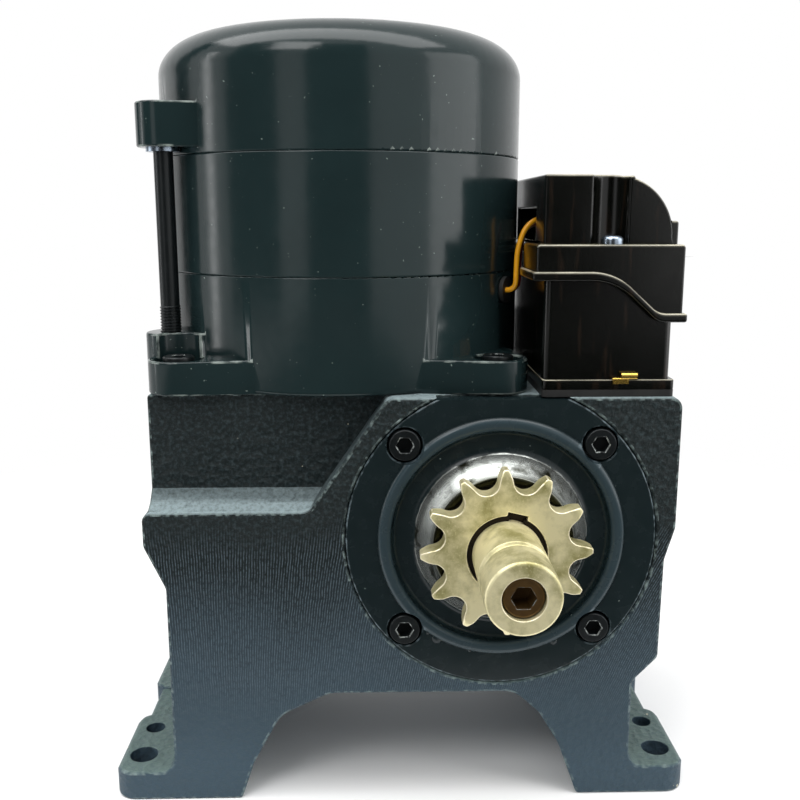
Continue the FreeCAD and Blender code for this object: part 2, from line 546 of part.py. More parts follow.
def wheel_gap():
    """Section of one wheel tooth gap, centred on +X, its flanks as involute arcs."""
    def on_flank(radius, side):
        angle = side * involute_half_width(radius)
        return V(radius * math.cos(angle), radius * math.sin(angle), 0)

    base_r = WHEEL_PITCH_R * math.cos(PRESSURE_ANGLE)
    low, high = max(WHEEL_ROOT_R, base_r) + 0.05, WHEEL_TIP_R + 1.5
    middle = (low + high) / 2
    floor = V(WHEEL_ROOT_R, on_flank(low, 1).y * 0.8, 0)
    floor_down = V(floor.x, -floor.y, 0)
    edges = [Part.LineSegment(floor_down, floor), Part.LineSegment(floor, on_flank(low, 1)),
             Part.Arc(on_flank(low, 1), on_flank(middle, 1), on_flank(high, 1)),
             Part.LineSegment(on_flank(high, 1), on_flank(high, -1)),
             Part.Arc(on_flank(high, -1), on_flank(middle, -1), on_flank(low, -1)),
             Part.LineSegment(on_flank(low, -1), floor_down)]
    return Part.Face(Part.Wire([edge.toShape() for edge in edges]))


def worm_wheel():
    """Bronze wheel with a throated rim and 30 teeth that lean with the worm's thread."""
    rim_r = WHEEL_TIP_R + 0.4
    rim = turned_y([(JOURNAL_R + RUN, WHEEL_Y0), (CLUTCH_R + 1, WHEEL_Y0), (CLUTCH_R + 3, WHEEL_Y0 + 1.5),
                    (rim_r - 2, WHEEL_Y0 + 1.5), (rim_r, WHEEL_Y0 + 4), (rim_r, WHEEL_Y1 - 4),
                    (rim_r - 2, WHEEL_Y1 - 1.5), (CLUTCH_R + 3, WHEEL_Y1 - 1.5), (CLUTCH_R + 1, WHEEL_Y1),
                    (JOURNAL_R + RUN, WHEEL_Y1)])
    throat_face = Part.Face(Part.Wire(Part.makeCircle(
        WORM_ROOT_R + 0.75, V(MOTOR_X, MOTOR_Y, SHAFT_Z), Z_AXIS)))
    throat = throat_face.revolve(V(SHAFT_X, 0, SHAFT_Z), Y_AXIS, 360)
    rim = rim.cut(throat)
    span = WHEEL_W + 8
    gap = wheel_gap().extrude(V(0, 0, span))
    gap.translate(V(0, 0, -span / 2))
    gap.Placement = FreeCAD.Placement(V(0, 0, 0), FreeCAD.Rotation(X_AXIS, 90)).multiply(gap.Placement)
    gap.rotate(V(0, 0, 0), X_AXIS, -math.degrees(LEAD_ANGLE))
    gap.translate(V(SHAFT_X, MOTOR_Y, SHAFT_Z))
    gaps = []
    for i in range(TEETH):
        cut = gap.copy()
        cut.rotate(V(SHAFT_X, 0, SHAFT_Z), Y_AXIS, 180 + i * 360 / TEETH)
        gaps.append(cut)
    return rim.cut(gaps)


def worm_thread():
    """One-start thread of trapezoid section, swept along a helix, on a core that it joins."""
    z0 = SHAFT_Z - WORM_L / 2
    helix = Part.makeHelix(WORM_PITCH, WORM_L, WORM_PITCH_R)
    pitch_half = WORM_PITCH / 4 - BACKLASH
    slope = math.tan(PRESSURE_ANGLE)
    sunk = WORM_ROOT_R - 0.8

    def side(r, sign):
        return V(r, 0, sign * (pitch_half - (r - WORM_PITCH_R) * slope))

    tip = WORM_TIP_R - 0.3
    section = Part.makePolygon([side(sunk, -1), side(tip, -1), side(tip, 1), side(sunk, 1), side(sunk, -1)])
    sweep = Part.Wire(helix).makePipeShell([section], True, True)
    sweep.translate(V(MOTOR_X, MOTOR_Y, z0))
    return sweep


FOOT_JOURNAL_R, NECK_R, MOTOR_BEARING_R, CAP_JOURNAL_R = 10.0, 12.5, 26.0, 8.5
CAP_BEARING_R, CAP_BEARING_W, MOTOR_BEARING_W = 20.0, 12.0, 15.0
MOTOR_BEARING_Z, CAP_BEARING_Z = BODY_TOP + 6.5, BODY_TOP + 123.0
ROTOR_R, CORE_SHAFT_R = BORE_OF_CORE - 0.5, 15.0


def rotor_shaft():
    """Motor shaft whose lower half is the worm."""
    z_low, z_high = SHAFT_Z - WORM_L / 2, SHAFT_Z + WORM_L / 2
    core = turned_z([(0, WELL_END - FOOT_BEARING_W + 1), (FOOT_JOURNAL_R, WELL_END - FOOT_BEARING_W + 1, 1),
                     (FOOT_JOURNAL_R, WELL_END), (WORM_ROOT_R, WELL_END + 0.6),
                     (WORM_ROOT_R, z_high + 8, 1), (NECK_R, z_high + 8),
                     (NECK_R, MOTOR_BEARING_Z + MOTOR_BEARING_W),
                     (CORE_SHAFT_R, MOTOR_BEARING_Z + MOTOR_BEARING_W), (CORE_SHAFT_R, CORE_TOP + 12), (CAP_JOURNAL_R, CORE_TOP + 12),
                     (CAP_JOURNAL_R, CAP_BEARING_Z + CAP_BEARING_W, 1), (0, CAP_BEARING_Z + CAP_BEARING_W)])
    thread = worm_thread().common(upright(WORM_TIP_R + 1, MOTOR_X, MOTOR_Y, z_low + 1, z_high - 1))
    return core.fuse(thread)


def rotor_core():
    """Laminated rotor with its cast end rings."""
    r = ROTOR_R
    return turned_z([(CORE_SHAFT_R + 0.02, CORE_BOTTOM), (20, CORE_BOTTOM), (24, CORE_BOTTOM - 9),
                     (r - 3, CORE_BOTTOM - 9), (r - 1, CORE_BOTTOM), (r, CORE_BOTTOM), (r, CORE_TOP),
                     (r - 1, CORE_TOP), (r - 3, CORE_TOP + 9), (24, CORE_TOP + 9), (20, CORE_TOP),
                     (CORE_SHAFT_R + 0.02, CORE_TOP)])


def worm_bearing():
    return turned_z(shifted(bearing(FOOT_JOURNAL_R + RUN, FOOT_BEARING_R, FOOT_BEARING_W),
                            WELL_END - FOOT_BEARING_W))


def motor_bearing():
    return turned_z(shifted(bearing(NECK_R + RUN, MOTOR_BEARING_R, MOTOR_BEARING_W), MOTOR_BEARING_Z))


def cap_bearing():
    return turned_z(shifted(bearing(CAP_JOURNAL_R + RUN, CAP_BEARING_R, CAP_BEARING_W), CAP_BEARING_Z))


def motor_seal():
    z0 = BODY_TOP - SPIGOT_H
    return turned_z([(NECK_R + RUN, z0), (23.5, z0), (23.5, z0 + 7), (NECK_R + 2, z0 + 7),
                     (NECK_R + 2, z0 + 2), (NECK_R + RUN, z0 + 2)])


# ---------------------------------------------------------------- motor casing
INNER_R = MOTOR_R - MOTOR_WALL
EAR_RECESS_R, EAR_RECESS, EAR_WASHER = 10.2, 8.6, 1.6
EAR_SPREAD, LUG_SPREAD = math.radians(36.3), math.radians(25)
LEAD_ANGLE_OUT, LEAD_HOLE_Z, LEAD_HOLE_R = math.radians(-29), BODY_TOP + 40.0, 4.6


def lead_hole(radius, r0, r1):
    """Radial cylinder through the motor wall, towards the control box."""
    out = V(math.cos(LEAD_ANGLE_OUT), math.sin(LEAD_ANGLE_OUT), 0)
    return Part.makeCylinder(radius, r1 - r0, V(MOTOR_X, MOTOR_Y, LEAD_HOLE_Z) + out * r0, out)


def end_shield():
    """Lower end shield: cup with bearing hub, spigot, four ears and two tie-rod lugs."""
    floor = BODY_TOP + 8.5
    hub_top = MOTOR_BEARING_Z + MOTOR_BEARING_W + 1
    spigot = BODY_TOP - SPIGOT_H
    cup = turned_z([(23.5 + SEAT_GAP, spigot), (SPIGOT_R, spigot), (SPIGOT_R, BODY_TOP),
                    (MOTOR_R, BODY_TOP, 2), (MOTOR_R, SEAM_2, 0.7), (INNER_R, SEAM_2), (INNER_R, floor, 4), (34, floor, 4),
                    (34, hub_top, 1), (MOTOR_BEARING_R + SEAT_GAP, hub_top),
                    (MOTOR_BEARING_R + SEAT_GAP, MOTOR_BEARING_Z), (NECK_R + 4, MOTOR_BEARING_Z),
                    (NECK_R + 4, spigot + 7), (23.5 + SEAT_GAP, spigot + 7)])
    ears = [motor_ear(dx, dy, EAR_R, EAR_SPREAD, BODY_TOP, BODY_TOP + EAR_T) for dx, dy in EAR_PLACES]
    lugs = [motor_ear(dx, dy, LUG_R, LUG_SPREAD, BODY_TOP, LUG_TOP, 18) for dx, dy in ROD_PLACES]
    outside = united(ears + lugs).cut(upright(INNER_R + 2, MOTOR_X, MOTOR_Y, BODY_TOP - 1, LUG_TOP + 1))
    solid = united([cup, outside])
    cuts = [lead_hole(LEAD_HOLE_R, INNER_R - 2, MOTOR_R + 5)]
    for dx, dy in EAR_PLACES:
        x, y = MOTOR_X + dx, MOTOR_Y + dy
        cuts += [upright(M8_R + 0.4, x, y, BODY_TOP - 1, BODY_TOP + EAR_T + 1),
                 upright(EAR_RECESS_R, x, y, BODY_TOP + EAR_T - EAR_RECESS, BODY_TOP + EAR_T + 20)]
    for dx, dy in ROD_PLACES:
        cuts.append(upright(M8_R + SEAT_GAP, MOTOR_X + dx, MOTOR_Y + dy, BODY_TOP + 5, LUG_TOP + 1))
    return solid.cut(cuts)


def end_shield_screws():
    seat = BODY_TOP + EAR_T - EAR_RECESS + EAR_WASHER
    length = seat - BODY_TOP + EAR_SCREW_DEPTH - 0.5
    return [cap_screw(V(MOTOR_X + dx, MOTOR_Y + dy, seat), V(0, 0, -1), length) for dx, dy in EAR_PLACES]


def end_shield_washers():
    z0 = BODY_TOP + EAR_T - EAR_RECESS
    return [ring_z(M8_R + 0.1, 8.0, z0, z0 + EAR_WASHER, MOTOR_X + dx, MOTOR_Y + dy) for dx, dy in EAR_PLACES]


def stator_ring():
    return turned_z([(INNER_R, SEAM_2), (MOTOR_R, SEAM_2, 0.7), (MOTOR_R, SEAM_1, 0.7), (INNER_R, SEAM_1)])


CROWN, SHOULDER_R = 4.5, 23.0                  # rise of the domed top; radius of its shoulder
ROD_HEAD_DEPTH = 9.0


def top_cap():
    """Domed cap with the upper bearing hub and two ears for the tie rods."""
    under = MOTOR_TOP - 10
    dome = turned_z([(0, MOTOR_TOP), (MOTOR_R, MOTOR_TOP - CROWN, SHOULDER_R), (MOTOR_R, SEAM_1, 0.7),
                     (INNER_R, SEAM_1), (INNER_R, under - 3, 16), (27, under, 3), (27, CAP_BEARING_Z - 1),
                     (CAP_BEARING_R + SEAT_GAP, CAP_BEARING_Z - 1),
                     (CAP_BEARING_R + SEAT_GAP, CAP_BEARING_Z + CAP_BEARING_W + 1),
                     (0, CAP_BEARING_Z + CAP_BEARING_W + 1)])
    ear_top = CAP_EAR_Z + CAP_EAR_T
    ears = [motor_ear(dx, dy, LUG_R, LUG_SPREAD, CAP_EAR_Z, ear_top, 20) for dx, dy in ROD_PLACES]
    outside = united(ears).cut(upright(INNER_R + 2, MOTOR_X, MOTOR_Y, CAP_EAR_Z - 1, ear_top + 1))
    solid = united([dome, outside])
    for dx, dy in ROD_PLACES:
        x, y = MOTOR_X + dx, MOTOR_Y + dy
        solid = solid.cut([upright(M8_R + 0.4, x, y, CAP_EAR_Z - 1, ear_top),
                           upright(M8_HEAD_R + 0.5, x, y, ear_top - ROD_HEAD_DEPTH, ear_top + 20)])
    return solid


def tie_rods():
    """Long screws from the cap ears down to the lugs of the end shield."""
    seat = CAP_EAR_Z + CAP_EAR_T - ROD_HEAD_DEPTH
    length = seat - BODY_TOP - 8
    return [cap_screw(V(MOTOR_X + dx, MOTOR_Y + dy, seat), V(0, 0, -1), length) for dx, dy in ROD_PLACES]


def tie_rod_washers():
    return [ring_z(M8_R + 0.1, 6.9, CAP_EAR_Z - 1.6, CAP_EAR_Z, MOTOR_X + dx, MOTOR_Y + dy)
            for dx, dy in ROD_PLACES]


SLOT_W, SLOT_OUT = 6.0, 60.0


def slot_bar(r0, r1, width, z0, z1, index):
    bar = box(r0, r1, -width / 2, width / 2, z0, z1)
    bar.rotate(V(0, 0, 0), Z_AXIS, index * 360 / SLOTS)
    bar.translate(V(MOTOR_X, MOTOR_Y, 0))
    return bar


def stator_core():
    """Laminated stator with 24 winding slots."""
    ring = ring_z(BORE_OF_CORE, INNER_R - SEAT_GAP, CORE_BOTTOM, CORE_TOP)
    return ring.cut([slot_bar(BORE_OF_CORE - 2, SLOT_OUT, SLOT_W, CORE_BOTTOM - 1, CORE_TOP + 1, i)
                     for i in range(SLOTS)])


def windings():
    """Copper bars through the slots, joined by the end turns above and below the core."""
    def end_turns(z0, z1):
        return turned_z([(BORE_OF_CORE + 3, z0), (SLOT_OUT + 3, z0, 3), (SLOT_OUT + 1, z1, 5),
                         (BORE_OF_CORE + 4, z1, 4)])
    bars = [slot_bar(BORE_OF_CORE + 3.2, SLOT_OUT - 0.2, SLOT_W - 0.4, CORE_BOTTOM - 1, CORE_TOP + 1, i)
            for i in range(SLOTS)]
    return united([end_turns(CORE_TOP + 0.3, CORE_TOP + 15), end_turns(CORE_BOTTOM - 0.3, CORE_BOTTOM - 15)]
                  + bars)


# ---------------------------------------------------------------- control box
FLOOR_Z = BODY_TOP + 2 * PLATE_T
NOTCH_Y = -27.0                                # the skirt narrows here to clear the motor


def box_outline(grow):
    return [(BOX_X0 - grow, BOX_Y0 - grow, 3), (BOX_X1 + grow, BOX_Y0 - grow, 3),
            (BOX_X1 + grow, BOX_Y1 + grow, 3), (BOX_X0 - grow, BOX_Y1 + grow, 3)]


def plate_outline():
    """Outline shared by the gasket and the foot plate of the box, close beside the motor."""
    left, right = BOX_X0 - 0.2, BOX_X1 + 1.5
    return [(left, BOX_Y0 - 2, 2), (right, BOX_Y0 - 2, 2), (right, BOX_Y1 + 2, 2), (left, BOX_Y1 + 2, 2)]


def box_gasket():
    return slab(plate_outline(), BODY_TOP, BODY_TOP + PLATE_T - 0.6)


GLAND_X, GLAND_Z, GLAND_R, GLAND_FLANGE_R = 70.9, BODY_TOP + 22.0, 6.5, 8.8


def control_box_base():
    """Open tray on a foot plate, with two screw posts and a cable hole at the rear."""
    top = LIP_LEFT_Z + 6
    foot_plate = slab(plate_outline(), BODY_TOP + PLATE_T - 0.6, FLOOR_Z)
    tray = slab(box_outline(0), FLOOR_Z - 1, top)
    hollow = slab(box_outline(-BOX_WALL), FLOOR_Z, top + 1)
    posts = [upright(5, BOX_SCREW_X, y, FLOOR_Z - 1, SKIRT_TOP - BOX_WALL - 0.2)
             for y in (BOX_SCREW_FRONT, BOX_SCREW_REAR)]
    solid = united([united([foot_plate, tray]).cut(hollow)] + posts)
    holes = [upright(2.0, BOX_SCREW_X, y, SKIRT_TOP - 22, SKIRT_TOP)
             for y in (BOX_SCREW_FRONT, BOX_SCREW_REAR)]
    low_right = plate([(84, LIP_LEFT_Z + 7), (104, LIP_RIGHT_Z + 6), (BOX_X1 + 1, LIP_RIGHT_Z + 6),
                       (BOX_X1 + 1, top + 1), (84, top + 1)], BOX_Y0 - 1, BOX_Y0 + BOX_WALL)
    gland_hole = level(GLAND_R, GLAND_X, GLAND_Z, BOX_Y1 - BOX_WALL - 1, BOX_Y1 + 1)
    return solid.cut(holes + [low_right, gland_hole])


def skirt_corners(left, drop):
    """Front outline of the cover's skirt; its lower edge falls in an S to the right."""
    return [(left, LIP_LEFT_Z - drop), (84, LIP_LEFT_Z - drop, 24), (102, LIP_RIGHT_Z - drop, 8),
            (SKIRT_X1, LIP_RIGHT_Z - drop)]


LIP_T, LIP_STAND = 3.2, 1.6
DOME_SHOULDER_R, CHANNEL_R = 25.0, 7.3         # round right shoulder; half-round screw channels


def control_box_cover():
    """Stepped cover: skirt with a wavy lip, and a set-back dome with a round right shoulder."""
    top_edge = [(SKIRT_X1, SKIRT_TOP, 1.5), (SKIRT_X0, SKIRT_TOP, 1.5)]
    front_skirt = plate(skirt_corners(SKIRT_X0, 0) + top_edge, SKIRT_Y0, NOTCH_Y)
    rear_left = BOX_X0 + 0.3
    rear_skirt = plate(skirt_corners(rear_left, 0) + [(SKIRT_X1, SKIRT_TOP, 1.5), (rear_left, SKIRT_TOP)],
                       NOTCH_Y, SKIRT_Y1)
    right_lip = [(x + (LIP_STAND if x == SKIRT_X1 else 0), z, *rest)
                 for x, z, *rest in skirt_corners(SKIRT_X0 - LIP_STAND, LIP_T)]
    lip = plate(right_lip + list(reversed([(x + (LIP_STAND if x == SKIRT_X1 else 0), z, *rest)
                for x, z, *rest in skirt_corners(SKIRT_X0 - LIP_STAND, -0.4)])),
                SKIRT_Y0 - LIP_STAND, NOTCH_Y)
    dome = plate([(DOME_X0, SKIRT_TOP - 1), (DOME_X0, BOX_TOP, 1), (DOME_X1, BOX_TOP, DOME_SHOULDER_R),
                  (DOME_X1, SKIRT_TOP - 1)], DOME_Y0, DOME_Y1)
    tab = box(DOME_X1 - 1, DOME_X1 + 2.5, DOME_Y0 + 1, DOME_Y0 + 6, SKIRT_TOP - 1, SKIRT_TOP + 9)
    solid = united([front_skirt, rear_skirt, lip, dome, tab])
    w = BOX_WALL
    hollow_dome = plate([(DOME_X0 + w, SKIRT_TOP - w - 1), (DOME_X0 + w, BOX_TOP - w),
                         (DOME_X1 - w, BOX_TOP - w, DOME_SHOULDER_R - w + 0.5),
                         (DOME_X1 - w, SKIRT_TOP - w - 1)], DOME_Y0 + w, DOME_Y1 - w)
    fit = 0.3
    hollow = box(BOX_X0 - fit, BOX_X1 + fit, BOX_Y0 - fit, BOX_Y1 + fit, BODY_TOP, SKIRT_TOP - w)
    thin_left = box(rear_left - 1, BOX_X0 + BOX_WALL + 0.2, NOTCH_Y - 1, SKIRT_Y1 - w, BODY_TOP,
                    LIP_LEFT_Z + 6.5)
    channel = upright(CHANNEL_R, BOX_SCREW_X, DOME_Y0 - 1, SKIRT_TOP, BOX_TOP + 1)
    rear_channel = upright(CHANNEL_R, BOX_SCREW_X, DOME_Y1 + 1, SKIRT_TOP, BOX_TOP + 1)
    groove_walls = [upright(CHANNEL_R + w, BOX_SCREW_X, y, SKIRT_TOP - w, BOX_TOP - 0.5).common(
                        box(BOX_SCREW_X - 12, BOX_SCREW_X + 12, DOME_Y0, DOME_Y1, SKIRT_TOP - w, BOX_TOP))
                    for y in (DOME_Y0 - 1, DOME_Y1 + 1)]
    shell = united([solid.cut([hollow, hollow_dome, thin_left])] + groove_walls)
    holes = [upright(2.3, BOX_SCREW_X, y, SKIRT_TOP - 6, SKIRT_TOP + 1)
             for y in (BOX_SCREW_FRONT, BOX_SCREW_REAR)]
    lead_window = box(DOME_X0 - 1, DOME_X0 + w + 1, -26, 26, SKIRT_TOP + 0.5, SKIRT_TOP + 14)
    return shell.cut([channel, rear_channel, lead_window] + holes)


def box_screws():
    """Pan head screws that hold the cover on its posts."""
    screws = []
    for y in (BOX_SCREW_FRONT, BOX_SCREW_REAR):
        pan = turned_z([(0, SKIRT_TOP + 3.2), (4.4, SKIRT_TOP + 3.2, 1.8), (4.4, SKIRT_TOP),
                        (1.95, SKIRT_TOP), (1.95, SKIRT_TOP - 18), (0, SKIRT_TOP - 19)], BOX_SCREW_X, y)
        cross = [box(BOX_SCREW_X - a, BOX_SCREW_X + a, y - b, y + b, SKIRT_TOP + 1.6, SKIRT_TOP + 4)
                 for a, b in ((2.4, 0.5), (0.5, 2.4))]
        screws.append(pan.cut(cross))
    return screws


def cable_gland():
    """Rubber bush for the supply cable, in the rear wall of the box."""
    y0 = BOX_Y1 - BOX_WALL
    inside, outside = y0 - SEAT_GAP, BOX_Y1 + SEAT_GAP
    neck, flange, hole = GLAND_R - SEAT_GAP, GLAND_FLANGE_R, GLAND_R - 2.0
    return turned_y([(hole, y0 - 3), (flange, y0 - 3, 1), (flange, inside), (neck, inside),
                     (neck, outside), (flange, outside), (flange, BOX_Y1 + 3, 1), (hole, BOX_Y1 + 3)],
                    GLAND_X, GLAND_Z)


CAP_CAN_R, CAP_CAN_Z = 18.0, FLOOR_Z + 20.5


def run_capacitor():
    """Aluminium can that lies along the box, with two tags at its front."""
    x = BOX_X0 + BOX_WALL + CAP_CAN_R + 2
    can = turned_y([(0, -34), (CAP_CAN_R, -34, 2), (CAP_CAN_R, 34, 3), (0, 34)], x, CAP_CAN_Z)
    tags = [box(x + dx - 3, x + dx + 3, -42, -33, CAP_CAN_Z - 0.4, CAP_CAN_Z + 0.4) for dx in (-7, 7)]
    return united([can] + tags)


def terminal_block():
    """Six-way screw terminal strip over the capacitor."""
    z0 = LIP_LEFT_Z + 8
    x0 = 66.0
    strip = box(x0, x0 + 16, -36, 24, z0, z0 + 12)
    entries = []
    for i in range(6):
        y = -31 + i * 10
        entries += [upright(2.6, x0 + 8, y, z0 + 4, z0 + 13),
                    Part.makeCylinder(2.0, 24, V(x0 - 4, y, z0 + 4), X_AXIS)]
    return strip.cut(entries)


def terminal_bracket():
    """Bent plate that holds the terminal strip, standing on the tray floor."""
    z1 = LIP_LEFT_Z + 8
    x0 = 64.0
    top = box(x0, BOX_X1 - BOX_WALL - 0.5, -38, 26, z1 - 1.5, z1)
    leg = box(BOX_X1 - BOX_WALL - 2, BOX_X1 - BOX_WALL - 0.5, -38, 26, FLOOR_Z, z1 - 1)
    return united([top, leg])


def earth_terminal():
    """Crimped brass lug that lies over the front edge of the foot plate."""
    x, y = 90.0, BOX_Y0 - 2
    tab = beam([(y - 1.0, FLOOR_Z - 1.6), (y - 1.0, FLOOR_Z + 0.9, 0.7), (y + 1.9, FLOOR_Z + 0.9),
                (y + 1.9, FLOOR_Z), (y, FLOOR_Z), (y, FLOOR_Z - 1.6)], x - 5, x + 1.5)
    barrel = Part.makeCylinder(1.5, 6.5, V(x - 1.5, y + 0.3, FLOOR_Z + 1.5), X_AXIS)
    barrel = barrel.common(box(x - 2, x + 6, y - 2, y + 1.9, FLOOR_Z, FLOOR_Z + 4))
    return united([tab, barrel])


# ---------------------------------------------------------------- leads
def lead(points, radius):
    """Tube along straight runs joined by arcs as large as the runs allow."""
    pts = [V(*p) for p in points]
    edges, here = [], pts[0]
    for i in range(1, len(pts) - 1):
        a, b = pts[i - 1] - pts[i], pts[i + 1] - pts[i]
        half = a.getAngle(b) / 2
        reach = 0.45 * min(a.Length, b.Length)
        bend = reach * math.tan(half)
        a.normalize()
        b.normalize()
        inward = (a + b).normalize()
        start, end = pts[i] + a * reach, pts[i] + b * reach
        top = pts[i] + inward * (bend / math.sin(half) - bend)
        edges += [Part.LineSegment(here, start).toShape(), Part.Arc(start, top, end).toShape()]
        here = end
    edges.append(Part.LineSegment(here, pts[-1]).toShape())
    path = Part.Wire(edges)
    along = (pts[1] - pts[0]).normalize()
    section = Part.Wire(Part.makeCircle(radius, pts[0], along))
    tube = path.makePipeShell([section], True, False)
    return tube


OUT = V(math.cos(LEAD_ANGLE_OUT), math.sin(LEAD_ANGLE_OUT), 0)
ACROSS = V(-OUT.y, OUT.x, 0)


def wire_points(shift, rise):
    """Route of one lead: out of the motor, up the gap and in at the box window."""
    axis = V(MOTOR_X, MOTOR_Y, 0)
    hole = axis + OUT * (MOTOR_R + 2) + ACROSS * shift
    gap = axis + OUT * (MOTOR_R + 6.5) + ACROSS * shift
    window = V(DOME_X0 - 2.5, -17 + shift * 2, SKIRT_TOP + 6 + rise)
    return [(hole.x, hole.y, LEAD_HOLE_Z), (gap.x, gap.y, LEAD_HOLE_Z),
            (gap.x, gap.y, LEAD_HOLE_Z + 9), (gap.x + 0.6, gap.y + 1, SKIRT_TOP - 2),
            (window.x, window.y, window.z), (window.x + 6, window.y + 4, window.z + 1.2)]


def earth_wire():
    return lead(wire_points(-1.7, 2.5), 1.15)


def motor_lead():
    return lead(wire_points(1.7, 0.5), 1.05)


def lead_grommet():
    """Rubber bush where the leads leave the motor."""
    neck = lead_hole(LEAD_HOLE_R - SEAT_GAP, INNER_R, MOTOR_R + 2)
    bush = neck.fuse(lead_hole(LEAD_HOLE_R + 1.2, MOTOR_R + 0.35, MOTOR_R + 2))
    return bush.cut(lead_hole(2.2, INNER_R - 1, MOTOR_R - 2))


# ---------------------------------------------------------------- all pieces
NODES = {
    "gearbox_housing": gearbox_housing,
    "output_cover": output_cover,
    "cover_screws": cover_screws,
    "output_seal": output_seal,
    "front_bearing": front_bearing,
    "rear_bearing": rear_bearing,
    "drain_plug": lambda: oil_plug(*DRAIN_PLUG, 12),
    "drain_plug_washer": lambda: plug_washer(*DRAIN_PLUG),
    "level_plug": lambda: oil_plug(*LEVEL_PLUG, 18),
    "level_plug_washer": lambda: plug_washer(*LEVEL_PLUG),
    "output_shaft": output_shaft,
    "shaft_key": lambda: key_block(0.0),
    "sprocket": sprocket,
    "sprocket_circlip": sprocket_circlip,
    "release_screw": release_screw,
    "push_rod": push_rod,
    "clutch_cross_pin": clutch_cross_pin,
    "clutch_thrust_collar": clutch_thrust_collar,
    "clutch_disc_springs": clutch_disc_springs,
    "clutch_pressure_plate": clutch_pressure_plate,
    "clutch_linings": clutch_linings,
    "worm_wheel": worm_wheel,
    "rotor_shaft": rotor_shaft,
    "rotor_core": rotor_core,
    "worm_bearing": worm_bearing,
    "motor_bearing": motor_bearing,
    "cap_bearing": cap_bearing,
    "motor_seal": motor_seal,
    "end_shield": end_shield,
    "end_shield_screws": end_shield_screws,
    "end_shield_washers": end_shield_washers,
    "stator_ring": stator_ring,
    "stator_core": stator_core,
    "windings": windings,
    "top_cap": top_cap,
    "tie_rods": tie_rods,
    "tie_rod_washers": tie_rod_washers,
    "box_gasket": box_gasket,
    "control_box_base": control_box_base,
    "control_box_cover": control_box_cover,
    "box_screws": box_screws,
    "cable_gland": cable_gland,
    "run_capacitor": run_capacitor,
    "terminal_block": terminal_block,
    "terminal_bracket": terminal_bracket,
    "earth_terminal": earth_terminal,
    "lead_grommet": lead_grommet,
    "earth_wire": earth_wire,
    "motor_lead": motor_lead,
}


def main():
    os.makedirs("parts", exist_ok=True)
    for name, make in NODES.items():
        made = make()
        shape = Part.makeCompound(made) if isinstance(made, list) else made
        shape.exportStep(f"parts/{name}.step")
        print(f"{name:24s} solids {len(shape.Solids)} valid {shape.isValid()}"
              f" volume {shape.Volume / 1000:9.2f} cm3")


main()
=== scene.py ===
"""Sliding gate motor.

A cast gearbox on four feet, a round motor painted in slate enamel, a black control box and an
output shaft with a chain sprocket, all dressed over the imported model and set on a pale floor.
Metres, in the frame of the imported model: +Z is up and the output shaft points along -Y.
"""
import json
import math

import bmesh
import bpy
from bpy.props import FloatProperty, FloatVectorProperty, IntProperty, PointerProperty
from mathutils import Matrix, Vector

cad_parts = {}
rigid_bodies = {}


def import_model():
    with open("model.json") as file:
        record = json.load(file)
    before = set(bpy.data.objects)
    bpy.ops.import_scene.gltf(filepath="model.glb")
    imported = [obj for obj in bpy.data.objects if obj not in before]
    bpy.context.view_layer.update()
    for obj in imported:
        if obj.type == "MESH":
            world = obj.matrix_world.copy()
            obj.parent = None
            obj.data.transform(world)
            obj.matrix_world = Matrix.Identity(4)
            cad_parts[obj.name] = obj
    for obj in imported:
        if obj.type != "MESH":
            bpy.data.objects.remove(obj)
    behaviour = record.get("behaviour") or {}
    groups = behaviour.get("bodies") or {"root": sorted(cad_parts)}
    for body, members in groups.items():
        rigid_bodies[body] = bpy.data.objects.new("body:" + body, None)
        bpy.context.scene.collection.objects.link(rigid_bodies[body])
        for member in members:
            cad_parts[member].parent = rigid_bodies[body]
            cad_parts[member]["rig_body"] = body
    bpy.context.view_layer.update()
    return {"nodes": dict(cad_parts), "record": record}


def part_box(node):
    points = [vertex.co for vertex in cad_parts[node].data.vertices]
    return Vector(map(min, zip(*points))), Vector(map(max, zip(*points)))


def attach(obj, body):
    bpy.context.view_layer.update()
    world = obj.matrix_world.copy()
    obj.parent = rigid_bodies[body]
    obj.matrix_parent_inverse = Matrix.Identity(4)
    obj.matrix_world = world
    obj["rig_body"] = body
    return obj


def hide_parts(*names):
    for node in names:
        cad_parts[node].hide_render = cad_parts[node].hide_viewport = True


bl_info = {
    "name": "Sliding gate motor",
    "version": (1, 0, 0),
    "blender": (4, 5, 0),
    "location": "View3D > Sidebar > Gate motor",
    "description": "Dresses a sliding gate motor: gearbox, motor, control box, sprocket and leads",
    "category": "Object",
}

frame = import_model()
MM = 0.001


def middle(node):
    """Middle of a node's box."""
    low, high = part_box(node)
    return (Vector(low) + Vector(high)) / 2


SHAFT = middle("output_shaft")                  # on the line of the output shaft
MOTOR = middle("stator_ring")                   # on the upright line of the motor
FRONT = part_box("gearbox_housing")[0][1]         # the machined front face
BODY_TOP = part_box("box_gasket")[0][2]           # top of the gearbox casting
AHEAD = Vector((0, -1, 0))                      # the way that the shaft points


# ---------------------------------------------------------------- colours and settings
def linear(code):
    """sRGB hex colour as linear red, green, blue and an alpha of 1."""
    values = [int(code[i:i + 2], 16) / 255 for i in (1, 3, 5)]
    return tuple(v / 12.92 if v <= 0.04045 else ((v + 0.055) / 1.055) ** 2.4 for v in values) + (1.0,)


def colour(name, description, code):
    return FloatVectorProperty(name=name, description=description, subtype="COLOR", size=4,
                               min=0.0, max=1.0, default=linear(code))


def length(name, description, default):
    return FloatProperty(name=name, description=description, unit="LENGTH", min=0.0, default=default)


